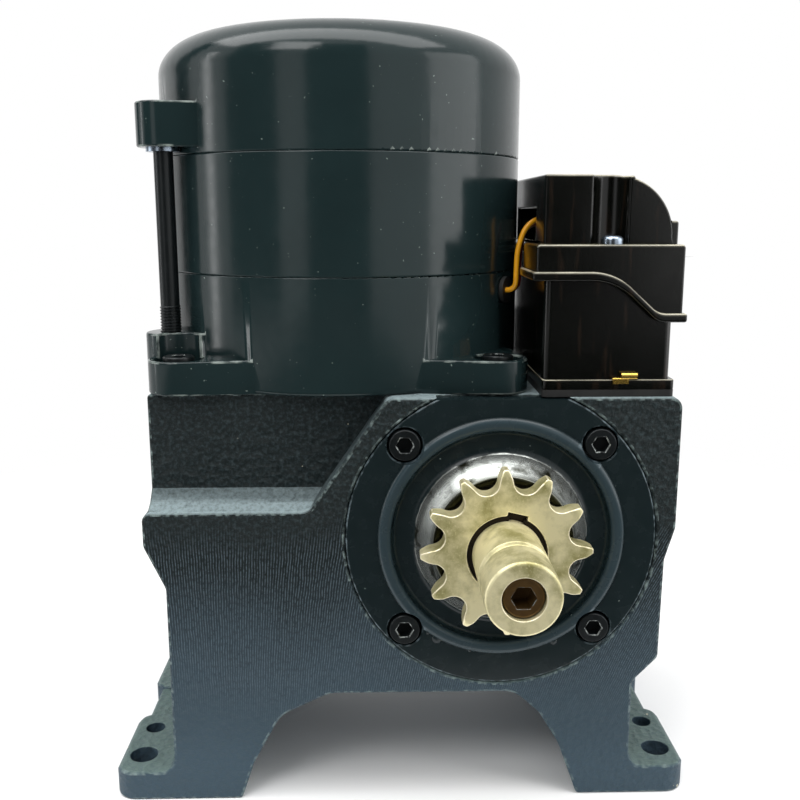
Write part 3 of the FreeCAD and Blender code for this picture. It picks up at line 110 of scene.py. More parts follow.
class GateMotorPaint(bpy.types.PropertyGroup):
    enamel: colour("Motor enamel", "Slate enamel of the motor casing", "#152122")
    casting: colour("Casting paint", "Paint on the gearbox casting", "#111a1b")
    # the low tone is painted light: the legs paler and bluer where the floor lights them, the darker tone
    # above painted shade under the motor
    casting_floor_lit: colour("Casting paint, low", "Dusty tone of the paint near the feet", "#394b57")
    # the foot and ledge tones go on what faces up: partly dust, partly painted top light
    foot: colour("Foot tops", "Dull olive dust on the tops of the feet", "#5b6e6a")
    ledge: colour("Ledge", "Pale dust on the ledge and the other high flats", "#8d9da0")
    cover: colour("Cover paint", "Paint on the output cover", "#101a1b")
    plastic: colour("Box plastic", "Moulded plastic of the control box", "#040503")


class GateMotorMetal(bpy.types.PropertyGroup):
    zinc: colour("Yellow zinc", "Yellow passivated zinc of sprocket and shaft", "#e9e0b4")
    zinc_dark: colour("Yellow zinc, stained", "Olive stains in the zinc", "#98925e")
    oxide: colour("Black oxide", "Blackened screws", "#0e1112")
    brown: colour("Brown screw", "Oiled and heat-browned release screw", "#6e5530")
    bare: colour("Bare hub", "Turned metal of the cover's hub", "#b9bdb9")


class GateMotorShape(bpy.types.PropertyGroup):
    cast_edge: length("Cast edge", "Rounding of the cast edges", 1.2 * MM)
    machined_edge: length("Machined edge", "Break on machined edges", 0.45 * MM)
    moulded_edge: length("Moulded edge", "Rounding of the plastic edges", 1.0 * MM)
    edge_steps: IntProperty(name="Edge steps", description="Faces across a rounded edge", default=3,
                            min=1, max=6)


class GateMotorStage(bpy.types.PropertyGroup):
    lens: FloatProperty(name="Lens", description="Focal length of the camera", unit="CAMERA",
                        default=42.5, min=20.0, max=120.0)
    tilt: FloatProperty(name="Tilt", description="How far the camera looks down", subtype="ANGLE",
                        default=math.radians(11.25))
    turn: FloatProperty(name="Turn", description="How far the camera looks to the right", subtype="ANGLE",
                        default=math.radians(1.4))
    floor: colour("Floor", "Pale studio floor", "#fbfbfb")
    ambient: FloatProperty(name="Ambient", description="Level of the light from all round", default=0.5,
                           min=0.0, max=2.0)


# ---------------------------------------------------------------- materials
def add(tree, kind, sockets=None, **settings):
    """Add a shader node with its settings. Each input takes a value, the output it is linked to, or a
    node, which gives its main output: the colour of a mix, and of any other the first."""
    node = tree.nodes.new("ShaderNode" + kind)
    for key, value in settings.items():
        setattr(node, key, value)
    for key, value in (sockets or {}).items():
        if isinstance(value, bpy.types.Node):
            value = value.outputs[2 if value.bl_idname == "ShaderNodeMix" else 0]
        if isinstance(value, bpy.types.NodeSocket):
            tree.links.new(value, node.inputs[key])
        else:
            node.inputs[key].default_value = value
    return node


def blank(name):
    """New material with only a texture coordinate node in it; gives the material, its tree and object
    coordinates.
    """
    material = bpy.data.materials.new(name)
    material.use_nodes = True
    tree = material.node_tree
    tree.nodes.clear()
    place = add(tree, "TexCoord").outputs["Object"]
    return material, tree, place


def finish(tree, shader):
    """Put the shader on the surface."""
    add(tree, "OutputMaterial", {"Surface": shader})


def per(size_mm):
    """Texture scale whose features measure size_mm."""
    return 1.0 / (size_mm * MM)


def wear_mask(tree, place, size_mm, low, high):
    """White on broken-up stretches of the bevelled edges."""
    edge = add(tree, "Attribute", attribute_name="edge").outputs["Fac"]
    patch = add(tree, "TexNoise", {"Vector": place, "Scale": per(size_mm), "Detail": 3.0})
    picked = add(tree, "MapRange", {"Value": patch, "From Min": low, "From Max": high})
    return add(tree, "Math", {0: edge, 1: picked}, operation="MULTIPLY")


def motor_enamel(look):
    """Slate enamel brushed thickly over cast aluminium: glossy, with a slow swell, small runs and
    specks of dust that stuck while it dried."""
    material, tree, place = blank("slate_enamel_on_cast_aluminium")
    swell = add(tree, "TexNoise", {"Vector": place, "Scale": per(26), "Detail": 2.0})
    peel = add(tree, "TexNoise", {"Vector": place, "Scale": per(3.2), "Detail": 3.0})
    speck = add(tree, "TexNoise", {"Vector": place, "Scale": per(1.3), "Detail": 1.0})
    dot = add(tree, "MapRange", {"Value": speck, "From Min": 0.77, "From Max": 0.8})
    tone = add(tree, "Mix", {"Factor": swell, 6: look.enamel, 7: linear("#1b292a")}, data_type="RGBA")
    dusty = add(tree, "Mix", {"Factor": dot, 6: tone, 7: linear("#66736e")}, data_type="RGBA")
    worn = add(tree, "Mix", {"Factor": wear_mask(tree, place, 6, 0.46, 0.7), 6: dusty,
                             7: linear("#7d8681")}, data_type="RGBA")
    rough = add(tree, "MapRange", {"Value": peel, "To Min": 0.1, "To Max": 0.24})
    wave = add(tree, "Bump", {"Height": swell, "Strength": 0.3, "Distance": 0.4 * MM})
    skin = add(tree, "Bump", {"Height": peel, "Strength": 0.14, "Distance": 0.1 * MM, "Normal": wave})
    shader = add(tree, "BsdfPrincipled", {"Base Color": worn, "Roughness": rough, "IOR": 1.5,
                                          "Specular IOR Level": 0.31, "Normal": skin})
    finish(tree, shader)
    return material


CUTTER_STEP = 1.2                               # mm between the lines that the milling cutter left
CUTTER_SLANT = (1.38, -0.235, -2.94)            # how the lines count up with x, z and x times z, in m
MILLED_TOP, MILLED_FOOT = (0.146, 0.128), (0.045, 0.075)    # m, heights over which the lines fade in
FLOOR_LIT_HEIGHTS = (0.122, 0.03)                       # m, heights between which the paint turns paler: painted light from the floor on the legs


def cutter_lines(tree, xyz, lump):
    """Wave from -1 to 1 of the cutter's lines, near upright at the upper left and leaning at the lower
    right, as a cutter head leaves them that swings across the face."""
    with_x, with_z, with_both = (slant * per(CUTTER_STEP) for slant in CUTTER_SLANT)
    both = add(tree, "Math", {0: xyz.outputs["X"], 1: xyz.outputs["Z"]}, operation="MULTIPLY")
    across = add(tree, "Math", {0: xyz.outputs["X"], 1: with_x}, operation="MULTIPLY")
    leaning = add(tree, "Math", {0: xyz.outputs["Z"], 1: with_z, 2: across}, operation="MULTIPLY_ADD")
    fanned = add(tree, "Math", {0: both, 1: with_both, 2: leaning}, operation="MULTIPLY_ADD")
    drift = add(tree, "Math", {0: lump, 1: 1.1, 2: fanned}, operation="MULTIPLY_ADD")
    turn = add(tree, "Math", {0: drift, 1: math.tau}, operation="MULTIPLY")
    return add(tree, "Math", {0: turn}, operation="SINE")


def milled_band(tree, front, height):
    """1 on the part of the front face that was milled, 0 where the skin was left as cast."""
    below = add(tree, "MapRange", {"Value": height, "From Min": MILLED_TOP[0], "From Max": MILLED_TOP[1]})
    above = add(tree, "MapRange", {"Value": height, "From Min": MILLED_FOOT[0],
                                   "From Max": MILLED_FOOT[1]})
    band = add(tree, "Math", {0: below, 1: above}, operation="MULTIPLY")
    return add(tree, "Math", {0: front, 1: band}, operation="MULTIPLY")


def casting_paint(look):
    """Sand-cast iron under one coat of blue-grey paint: a coarse grain where the skin was left as
    cast, its crests painted paler as painted highlights, slanted cutter lines where it was milled, a paler
    tone low down that is painted light from the floor, dust and painted top light on what faces up, and
    bare specks on the edges."""
    material, tree, place = blank("paint_on_sand_cast_iron")
    xyz = add(tree, "SeparateXYZ", {"Vector": place})
    normal = add(tree, "SeparateXYZ", {"Vector": add(tree, "NewGeometry").outputs["True Normal"]})
    front = add(tree, "MapRange", {"Value": normal.outputs["Y"], "From Min": -0.9, "From Max": -0.98})
    up_facing_dust_and_light = add(tree, "MapRange", {"Value": normal.outputs["Z"], "From Min": 0.5, "From Max": 0.9})
    patch = add(tree, "TexNoise", {"Vector": place, "Scale": per(34), "Detail": 2.0})
    sway = add(tree, "Math", {0: patch, 1: 0.03, 2: xyz.outputs["Z"]}, operation="MULTIPLY_ADD")
    # grain, pits and slow swell of the sand mould
    grain = add(tree, "TexNoise", {"Vector": place, "Scale": per(1.7), "Detail": 6.0, "Roughness": 0.7})
    pit = add(tree, "TexVoronoi", {"Vector": place, "Scale": per(3.4), "Randomness": 1.0})
    lump = add(tree, "TexNoise", {"Vector": place, "Scale": per(9), "Detail": 2.0})
    milled = milled_band(tree, front, sway)
    line = cutter_lines(tree, xyz, lump)
    # height
    cast = add(tree, "Math", {0: grain, 1: pit}, operation="ADD")
    rough_part = add(tree, "MapRange", {"Value": milled, "To Min": 1.0, "To Max": 0.18})
    cast_height = add(tree, "Math", {0: cast, 1: rough_part}, operation="MULTIPLY")
    line_height = add(tree, "Math", {0: line, 1: milled}, operation="MULTIPLY")
    height = add(tree, "Math", {0: line_height, 1: 0.1, 2: cast_height}, operation="MULTIPLY_ADD")
    slow = add(tree, "Bump", {"Height": lump, "Strength": 0.5, "Distance": 1.2 * MM})
    bump = add(tree, "Bump", {"Height": height, "Strength": 1.0, "Distance": 0.9 * MM, "Normal": slow})
    # colour: paler low down, which is painted light from the floor; pale on the cutter lines; painted
    # highlights on the crests of the grain
    low = add(tree, "MapRange", {"Value": sway, "From Min": FLOOR_LIT_HEIGHTS[0], "From Max": FLOOR_LIT_HEIGHTS[1]})
    tone = add(tree, "Mix", {"Factor": low, 6: look.casting, 7: look.casting_floor_lit}, data_type="RGBA")
    pale_line = add(tree, "MapRange", {"Value": line_height, "From Min": 0.1, "To Max": 0.4})
    broken = add(tree, "MapRange", {"Value": grain, "From Min": 0.38, "From Max": 0.56})
    pale = add(tree, "Math", {0: pale_line, 1: broken}, operation="MULTIPLY")
    lined = add(tree, "Mix", {"Factor": pale, 6: tone, 7: linear("#6b7d8a")}, data_type="RGBA")
    # painted highlight: the crests of the cast grain are painted paler, as light catching the relief
    crest_highlight = add(tree, "MapRange", {"Value": grain, "From Min": 0.48, "From Max": 0.68, "To Max": 0.5})
    painted_crest_light = add(tree, "Math", {0: crest_highlight, 1: rough_part}, operation="MULTIPLY")
    crest_lit = add(tree, "Mix", {"Factor": painted_crest_light, 6: lined, 7: linear("#3c4c50")}, data_type="RGBA")
    # dust and painted top light on what faces up, olive on the feet and paler higher
    dust_lump = add(tree, "MapRange", {"Value": grain, "From Min": 0.25, "From Max": 0.55,
                                       "To Min": 0.35})
    dust = add(tree, "Math", {0: up_facing_dust_and_light, 1: dust_lump}, operation="MULTIPLY")
    high = add(tree, "MapRange", {"Value": xyz.outputs["Z"], "From Min": 0.05, "From Max": 0.1})
    sand = add(tree, "Mix", {"Factor": high, 6: look.foot, 7: look.ledge}, data_type="RGBA")
    dusty = add(tree, "Mix", {"Factor": dust, 6: crest_lit, 7: sand}, data_type="RGBA")
    # chips down to the iron, more of them low down
    chip = add(tree, "TexNoise", {"Vector": place, "Scale": per(4.5), "Detail": 2.0})
    chip_size = add(tree, "Math", {0: low, 1: 0.035, 2: chip}, operation="MULTIPLY_ADD")
    chip_dot = add(tree, "MapRange", {"Value": chip_size, "From Min": 0.775, "From Max": 0.79})
    chipped = add(tree, "Mix", {"Factor": chip_dot, 6: dusty, 7: linear("#b9b7a4")}, data_type="RGBA")
    worn = add(tree, "Mix", {"Factor": wear_mask(tree, place, 2.6, 0.46, 0.8), 6: chipped,
                             7: linear("#7f8f8d")}, data_type="RGBA")
    shine = add(tree, "MapRange", {"Value": grain, "To Min": 0.32, "To Max": 0.58})
    shader = add(tree, "BsdfPrincipled", {"Base Color": worn, "Roughness": shine, "IOR": 1.5,
                                          "Specular IOR Level": 0.2, "Normal": bump})
    finish(tree, shader)
    return material


BARE_HUB = (0.0372, 0.0366)                     # m, radii between which the paint ends on the hub
GREASE_RING = (0.0305, 0.0285)                  # m, radii between which the grease round the seal begins
BEAD_OUTER, BEAD_INNER = (0.0512, 0.0504), (0.0455, 0.0463)   # m, radii of the bead's two sides, between which its painted highlight lies


def cover_paint(look, metal):
    """Turned iron cover under smooth paint, with a paler band on its bead that is a painted highlight; its
    hub is bare turned metal, bright outside and smeared with old grease near the seal."""
    material, tree, place = blank("paint_on_turned_iron_with_bare_hub")
    aside = add(tree, "CombineXYZ", {"X": -SHAFT.x, "Y": 0.0, "Z": -SHAFT.z})
    from_axis = add(tree, "VectorMath", {0: place, 1: aside}, operation="ADD")
    flat = add(tree, "VectorMath", {0: from_axis, 1: (1.0, 0.0, 1.0)}, operation="MULTIPLY")
    radius = add(tree, "VectorMath", {0: flat}, operation="LENGTH").outputs["Value"]
    smear = add(tree, "TexNoise", {"Vector": place, "Scale": per(7), "Detail": 4.0})
    peel = add(tree, "TexNoise", {"Vector": place, "Scale": per(2.4), "Detail": 2.0})
    hub_edge = add(tree, "Math", {0: smear, 1: 0.002, 2: radius}, operation="MULTIPLY_ADD")
    hub = add(tree, "MapRange", {"Value": hub_edge, "From Min": BARE_HUB[0], "From Max": BARE_HUB[1]})
    turned = add(tree, "Math", {0: radius, 1: math.tau * per(0.7)}, operation="MULTIPLY")
    turned_line = add(tree, "Math", {0: turned}, operation="SINE")
    tone = add(tree, "Mix", {"Factor": smear, 6: look.cover, 7: linear("#162124")}, data_type="RGBA")
    speck = add(tree, "MapRange", {"Value": peel, "From Min": 0.77, "From Max": 0.785})
    specked = add(tree, "Mix", {"Factor": speck, 6: tone, 7: linear("#93a09c")}, data_type="RGBA")
    # a paler band on the rounded bead: painted highlight
    outer = add(tree, "MapRange", {"Value": radius, "From Min": BEAD_OUTER[0], "From Max": BEAD_OUTER[1]})
    inside_bead = add(tree, "MapRange", {"Value": radius, "From Min": BEAD_INNER[0], "From Max": BEAD_INNER[1]})
    bead = add(tree, "Math", {0: outer, 1: inside_bead}, operation="MULTIPLY")
    bead_highlight = add(tree, "Mix", {"Factor": bead, 6: specked, 7: linear("#28353a")}, data_type="RGBA")
    worn = add(tree, "Mix", {"Factor": wear_mask(tree, place, 3, 0.42, 0.75), 6: bead_highlight,
                             7: linear("#66747a")}, data_type="RGBA")
    greasy = add(tree, "MapRange", {"Value": smear, "From Min": 0.5, "From Max": 0.66})
    inner = add(tree, "MapRange", {"Value": radius, "From Min": GREASE_RING[0],
                                   "From Max": GREASE_RING[1]})
    grease = add(tree, "Math", {0: greasy, 1: inner}, operation="MAXIMUM")
    bare = add(tree, "Mix", {"Factor": grease, 6: metal.bare, 7: linear("#2a2a1c")}, data_type="RGBA")
    base = add(tree, "Mix", {"Factor": hub, 6: worn, 7: bare}, data_type="RGBA")
    shiny = add(tree, "MapRange", {"Value": smear, "To Min": 0.16, "To Max": 0.36})
    metallic = add(tree, "Math", {0: hub, 1: 0.9}, operation="MULTIPLY")
    skin = add(tree, "Bump", {"Height": peel, "Strength": 0.1, "Distance": 0.1 * MM})
    groove = add(tree, "Bump", {"Height": turned_line, "Strength": 0.05, "Distance": 0.02 * MM,
                                "Normal": skin})
    shader = add(tree, "BsdfPrincipled", {"Base Color": base, "Roughness": shiny, "IOR": 1.5,
                                          "Metallic": metallic, "Specular IOR Level": 0.32,
                                          "Normal": groove})
    finish(tree, shader)
    return material


def yellow_zinc(metal):
    """Zinc plate with yellow passivation: a soft metallic sheen, cloudy olive stains, fine handling
    scratches and pale rubbed edges."""
    material, tree, place = blank("yellow_passivated_zinc")
    cloud = add(tree, "TexNoise", {"Vector": place, "Scale": per(15), "Detail": 6.0, "Roughness": 0.6})
    fine = add(tree, "TexNoise", {"Vector": place, "Scale": per(0.8), "Detail": 4.0})
    stretch = add(tree, "Mapping", {"Vector": place, "Scale": (1.0, 9.0, 0.35),
                                    "Rotation": (0.4, 0.7, 0.2)})
    scratch = add(tree, "TexNoise", {"Vector": stretch, "Scale": per(1.4), "Detail": 3.0})
    stain = add(tree, "MapRange", {"Value": cloud, "From Min": 0.42, "From Max": 0.66})
    tone = add(tree, "Mix", {"Factor": stain, 6: metal.zinc, 7: metal.zinc_dark}, data_type="RGBA")
    bright = add(tree, "MapRange", {"Value": fine, "From Min": 0.55, "From Max": 0.75, "To Max": 0.6})
    speckled = add(tree, "Mix", {"Factor": bright, 6: tone, 7: linear("#e4dcae")}, data_type="RGBA")
    rubbed = add(tree, "Mix", {"Factor": wear_mask(tree, place, 3, 0.3, 0.5), 6: speckled,
                               7: linear("#efe6c6")}, data_type="RGBA")
    rough = add(tree, "MapRange", {"Value": cloud, "To Min": 0.26, "To Max": 0.5})
    relief = add(tree, "Math", {0: scratch, 1: fine}, operation="ADD")
    bump = add(tree, "Bump", {"Height": relief, "Strength": 0.3, "Distance": 0.06 * MM})
    shader = add(tree, "BsdfPrincipled", {"Base Color": rubbed, "Metallic": 0.55, "Roughness": rough,
                                          "Normal": bump})
    finish(tree, shader)
    return material


def worked_metal(name, base, second, metallic, rough_low, rough_high, size_mm, lines_mm=0.0):
    """Metal in two close tones with a fine worked surface; lines_mm adds tool marks along Z."""
    material, tree, place = blank(name)
    cloud = add(tree, "TexNoise", {"Vector": place, "Scale": per(size_mm), "Detail": 4.0})
    tone = add(tree, "Mix", {"Factor": cloud, 6: base, 7: second}, data_type="RGBA")
    worn = add(tree, "Mix", {"Factor": wear_mask(tree, place, 2, 0.45, 0.6), 6: tone,
                             7: linear("#8c9290")}, data_type="RGBA")
    rough = add(tree, "MapRange", {"Value": cloud, "To Min": rough_low, "To Max": rough_high})
    height = add(tree, "TexNoise", {"Vector": place, "Scale": per(0.5), "Detail": 2.0})
    if lines_mm:
        xyz = add(tree, "SeparateXYZ", {"Vector": place})
        pitch = add(tree, "Math", {0: xyz.outputs["Z"], 1: math.tau * per(lines_mm)}, operation="MULTIPLY")
        wave = add(tree, "Math", {0: pitch}, operation="SINE")
        height = add(tree, "Math", {0: wave, 1: height}, operation="ADD")
    bump = add(tree, "Bump", {"Height": height, "Strength": 0.2, "Distance": 0.05 * MM})
    shader = add(tree, "BsdfPrincipled", {"Base Color": worn, "Metallic": metallic, "Roughness": rough,
                                          "Normal": bump})
    finish(tree, shader)
    return material


def box_plastic(look):
    """Injection-moulded ABS, near black and polished, with a thin olive film of dust, a pale painted
    highlight along its upward edges and faint brown upright streaks."""
    material, tree, place = blank("black_moulded_abs")
    normal = add(tree, "SeparateXYZ", {"Vector": add(tree, "NewGeometry").outputs["True Normal"]})
    up = add(tree, "MapRange", {"Value": normal.outputs["Z"], "From Min": 0.2, "From Max": 0.8})
    stretch = add(tree, "Mapping", {"Vector": place, "Scale": (1.0, 1.0, 0.12)})
    streak = add(tree, "TexNoise", {"Vector": stretch, "Scale": per(3.5), "Detail": 3.0})
    film = add(tree, "TexNoise", {"Vector": place, "Scale": per(16), "Detail": 4.0, "Roughness": 0.65})
    fine = add(tree, "TexNoise", {"Vector": place, "Scale": per(0.9), "Detail": 2.0})
    # faint brown upright streaks over the plastic
    brown = add(tree, "MapRange", {"Value": streak, "From Min": 0.58, "From Max": 0.75, "To Max": 0.6})
    tone = add(tree, "Mix", {"Factor": brown, 6: look.plastic, 7: linear("#2a1d14")}, data_type="RGBA")
    dust_part = add(tree, "MapRange", {"Value": film, "From Min": 0.4, "From Max": 0.75, "To Max": 0.7})
    dust = add(tree, "Math", {0: up, 1: dust_part}, operation="MULTIPLY")
    dusty = add(tree, "Mix", {"Factor": dust, 6: tone, 7: linear("#4a4a38")}, data_type="RGBA")
    # painted highlight: a pale line along the upward-facing edges, broken up in stretches
    top_edge_highlight = add(tree, "Math", {0: wear_mask(tree, place, 14, 0.2, 0.6), 1: up}, operation="MULTIPLY")
    worn = add(tree, "Mix", {"Factor": top_edge_highlight, 6: dusty, 7: linear("#b5b09c")}, data_type="RGBA")
    rough = add(tree, "MapRange", {"Value": film, "To Min": 0.12, "To Max": 0.3})
    bump = add(tree, "Bump", {"Height": fine, "Strength": 0.15, "Distance": 0.05 * MM})
    shader = add(tree, "BsdfPrincipled", {"Base Color": worn, "Roughness": rough, "IOR": 1.5,
                                          "Specular IOR Level": 0.4, "Normal": bump})
    finish(tree, shader)
    return material


def smooth_stuff(name, base, second, roughness, size_mm, bump_mm, level=0.5):
    """Rubber, insulation or moulded part: two close tones and a soft fine surface."""
    material, tree, place = blank(name)
    cloud = add(tree, "TexNoise", {"Vector": place, "Scale": per(size_mm), "Detail": 4.0})
    tone = add(tree, "Mix", {"Factor": cloud, 6: base, 7: second}, data_type="RGBA")
    rough = add(tree, "MapRange", {"Value": cloud, "To Min": roughness - 0.08,
                                   "To Max": roughness + 0.08})
    bump = add(tree, "Bump", {"Height": cloud, "Strength": 0.3, "Distance": bump_mm * MM})
    shader = add(tree, "BsdfPrincipled", {"Base Color": tone, "Roughness": rough, "IOR": 1.5,
                                          "Specular IOR Level": level, "Normal": bump})
    finish(tree, shader)
    return material


# slot: name, two tones, metallic, roughness from and to, size of the clouds and of tool marks in mm
METALS = {
    # ground bearing steel under a film of grease
    "bearing_steel": ("greased_bearing_steel", "#8c9094", "#6e7478", 1.0, 0.22, 0.4, 6, 0.5),
    # spring steel, blued by its heat treatment
    "dark_spring": ("blued_spring_steel", "#2a211a", "#15110e", 0.7, 0.3, 0.5, 3),
    # plain turned steel, bright with fine rings
    "plain_steel": ("turned_steel", "#9a9c9c", "#7e8284", 1.0, 0.28, 0.42, 5, 0.6),
    # blue-bright zinc plate
    "bright_zinc": ("blue_bright_zinc", "#a8b4c0", "#8795a6", 1.0, 0.2, 0.35, 3),
    # cast and hobbed bronze, warm and satin
    "bronze": ("hobbed_bronze", "#b08a4e", "#93703a", 1.0, 0.25, 0.42, 7),
    # pressed brass, polished by handling
    "brass": ("pressed_brass", "#e6c46a", "#c9a044", 1.0, 0.18, 0.32, 3),
    # stack of varnished steel sheets, 0.5 mm each
    "electrical_steel": ("laminated_electrical_steel", "#5b6066", "#474c52", 0.8, 0.4, 0.6, 8, 0.5),
    # steel stack with cast aluminium end rings
    "rotor_metal": ("rotor_sheets_and_aluminium", "#8e9296", "#6d7276", 0.9, 0.35, 0.5, 8, 0.5),
    # enamelled copper under amber varnish, in turns of 1 mm
    "copper": ("varnished_copper", "#b0602c", "#8a4218", 0.8, 0.25, 0.45, 2, 1.0),
    # drawn aluminium can in a clear sleeve
    "capacitor_can": ("drawn_aluminium_can", "#c4c8ca", "#a9aeb2", 1.0, 0.25, 0.35, 12),
}

# slot: name, two tones, roughness, size of the clouds and depth of their bump in mm, gloss
SMOOTH_STUFFS = {
    # sintered friction lining, dry and grainy
    "friction": ("friction_lining", "#4a4038", "#2f2823", 0.8, 1.2, 0.3),
    # nitrile rubber with a dusty bloom
    "black_rubber": ("nitrile_rubber", "#17181a", "#2a2a28", 0.55, 5, 0.1, 0.3),
    # ivory polyamide, moulded and waxy
    "terminal_plastic": ("ivory_polyamide", "#d9d4c2", "#c9c3ae", 0.45, 6, 0.05),
    # PVC insulation, smooth with a soft shine
    "yellow_wire": ("yellow_pvc_insulation", "#e8a410", "#c98a12", 0.35, 4, 0.08),
    "red_wire": ("dark_red_pvc_insulation", "#5c120c", "#380a08", 0.35, 4, 0.08),
}

MATERIALS = {}


def make_materials(scene):
    look, metal = scene.gate_motor_paint, scene.gate_motor_metal
    MATERIALS.update({
        "cast_paint": casting_paint(look),
        "cover_paint": cover_paint(look, metal),
        "motor_paint": motor_enamel(look),
        "yellow_zinc": yellow_zinc(metal),
        "box_plastic": box_plastic(look),
        # blackened steel: dark and slightly oily, grey where a key or spanner rubbed it
        "black_oxide": worked_metal("black_oxide_steel", metal.oxide, linear("#1a2022"), 0.4, 0.26,
                                    0.42, 4),
        # oiled screw, browned by heat
        "brown_screw": worked_metal("browned_steel_screw", metal.brown, linear("#453018"), 0.6, 0.25,
                                    0.4, 4),
    })
    for make, table in ((worked_metal, METALS), (smooth_stuff, SMOOTH_STUFFS)):
        for slot, (name, tone, second_tone, *surface) in table.items():
            MATERIALS[slot] = make(name, linear(tone), linear(second_tone), *surface)


SLOT_OF = {part["node"]: part["material_slot"] for part in frame["record"]["subparts"]}


def coat(node):
    """Give a CAD node the material of its slot."""
    data = frame["nodes"][node].data
    data.materials.clear()
    data.materials.append(MATERIALS[SLOT_OF[node]])


# ---------------------------------------------------------------- modelling
def merged(node):
    """Bmesh copy of a CAD node with its doubles merged and its flat facets joined."""
    bm = bmesh.new()
    bm.from_mesh(frame["nodes"][node].data)
    bmesh.ops.remove_doubles(bm, verts=bm.verts, dist=0.004 * MM)
    bmesh.ops.dissolve_limit(bm, angle_limit=math.radians(0.5), verts=bm.verts, edges=bm.edges)
    return bm


CORNER = math.radians(50)                       # outward edges that turn by more than this are rounded


def bevelled(bm, edges, width, steps, worn):
    """Round these edges, and mark the new faces with how worn they are."""
    made = bmesh.ops.bevel(bm, geom=edges, offset=width, offset_type="OFFSET", affect="EDGES",
                           segments=steps, profile=0.5, material=-1, clamp_overlap=False)
    mark_worn(bm, made["faces"], worn)


def mark_worn(bm, faces, worn):
    """Set the attribute that the paints read as a worn edge."""
    mark = bm.faces.layers.float["edge"]
    for face in faces:
        face[mark] = worn


def with_marks(bm):
    """Give the bmesh its layer for worn edges, if it has none."""
    if "edge" not in bm.faces.layers.float:
        bm.faces.layers.float.new("edge")


def round_edges(bm, width, steps, sharp=CORNER, pick=None):
    """Bevel the outward edges sharper than this and mark the new faces as worn."""
    with_marks(bm)
    bm.normal_update()
    edges = [e for e in bm.edges if len(e.link_faces) == 2 and e.calc_face_angle_signed(0.0) > sharp
             and (pick is None or pick(e))]
    bevelled(bm, edges, width, steps, 1.0)
    return bm


def as_object(name, bm):
    """Object in the scene made from a bmesh, which is used up."""
    mesh = bpy.data.meshes.new(name)
    bm.to_mesh(mesh)
    bm.free()
    made = bpy.data.objects.new(name, mesh)
    bpy.context.scene.collection.objects.link(made)
    return made


def piece(name, bm, node, smooth=40.0):
    """Finished object from a bmesh: it stands for the CAD node, rides on its body, wears its slot."""
    made = as_object(name, bm)
    made.data.shade_smooth()
    made.data.set_sharp_from_angle(angle=math.radians(smooth))
    slot = SLOT_OF[node]
    made.data.materials.append(MATERIALS[slot])
    even = made.modifiers.new("even_shading", "WEIGHTED_NORMAL")
    even.keep_sharp = True
    even.weight = 50
    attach(made, frame["nodes"][node]["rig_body"])
    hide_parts(node)


def dressed(node, name, width, steps):
    """The CAD node's own shape with its corners rounded."""
    piece(name, round_edges(merged(node), width, steps), node)


def spun(corners, centre, axis, steps):
    """Turned body: corners in mm, (radius, height along the axis), spun round the axis through centre.
    Corners that start and end on the axis leave the profile open there; others are a closed ring."""
    bm = bmesh.new()
    outward = Vector((1, 0, 0))
    points = [bm.verts.new(centre + outward * radius * MM + axis * height * MM)
              for radius, height in corners]
    on_axis = corners[0][0] == 0 and corners[-1][0] == 0
    pairs = list(zip(points, points[1:] + ([] if on_axis else points[:1])))
    edges = [bm.edges.new(pair) for pair in pairs]
    bmesh.ops.spin(bm, geom=points + edges, cent=centre, axis=axis, dvec=(0, 0, 0), angle=math.tau,
                   steps=steps, use_merge=True, use_duplicate=False)
    bmesh.ops.remove_doubles(bm, verts=bm.verts, dist=0.001 * MM)
    bmesh.ops.recalc_face_normals(bm, faces=bm.faces)
    return bm


def on_ring(centre, axis, radius, height):
    """Test for the edges of a turned body that run round it at this radius and height in mm."""
    near = 0.01 * MM

    def test(edge):
        for vert in edge.verts:
            along = (vert.co - centre).dot(axis)
            out = ((vert.co - centre) - axis * along).length
            if abs(along - height * MM) > near or abs(out - radius * MM) > near:
                return False
        return True
    return test


def soften_rings(bm, centre, axis, rings, steps):
    """Round the turned edges given in mm as (radius, height, rounding, how worn)."""
    with_marks(bm)
    for radius, height, rounding, worn in rings:
        test = on_ring(centre, axis, radius, height)
        bevelled(bm, [e for e in bm.edges if test(e)], rounding * MM, steps, worn)


def cut(bm, cutters, operation="DIFFERENCE"):
    """Bmesh with the cutters taken from it, or joined to it."""
    body = as_object("blank", bm)
    tools = []
    for i, cutter in enumerate(cutters):
        tool = as_object(f"cutter_{i}", cutter)
        step = body.modifiers.new(f"cut_{i}", "BOOLEAN")
        step.object, step.operation, step.solver = tool, operation, "EXACT"
        tools.append(tool)
    shaped = body.evaluated_get(bpy.context.evaluated_depsgraph_get()).to_mesh()
    result = bmesh.new()
    result.from_mesh(shaped)
    for used in [body] + tools:
        mesh = used.data
        bpy.data.objects.remove(used)
        bpy.data.meshes.remove(mesh)
    return result


BOLT_HOLES = ((115.0, 48.5), (115.0, 26.0))     # mm from the middle of the base, large and small
HOLE_REACH = 7.0                                # mm round a bolt hole's middle, takes in its rim
HOLE_EDGE = 0.4 * MM                            # break on the rim of a bolt hole
HOLE_SHARP = math.radians(32)                   # turn of an edge that is broken there


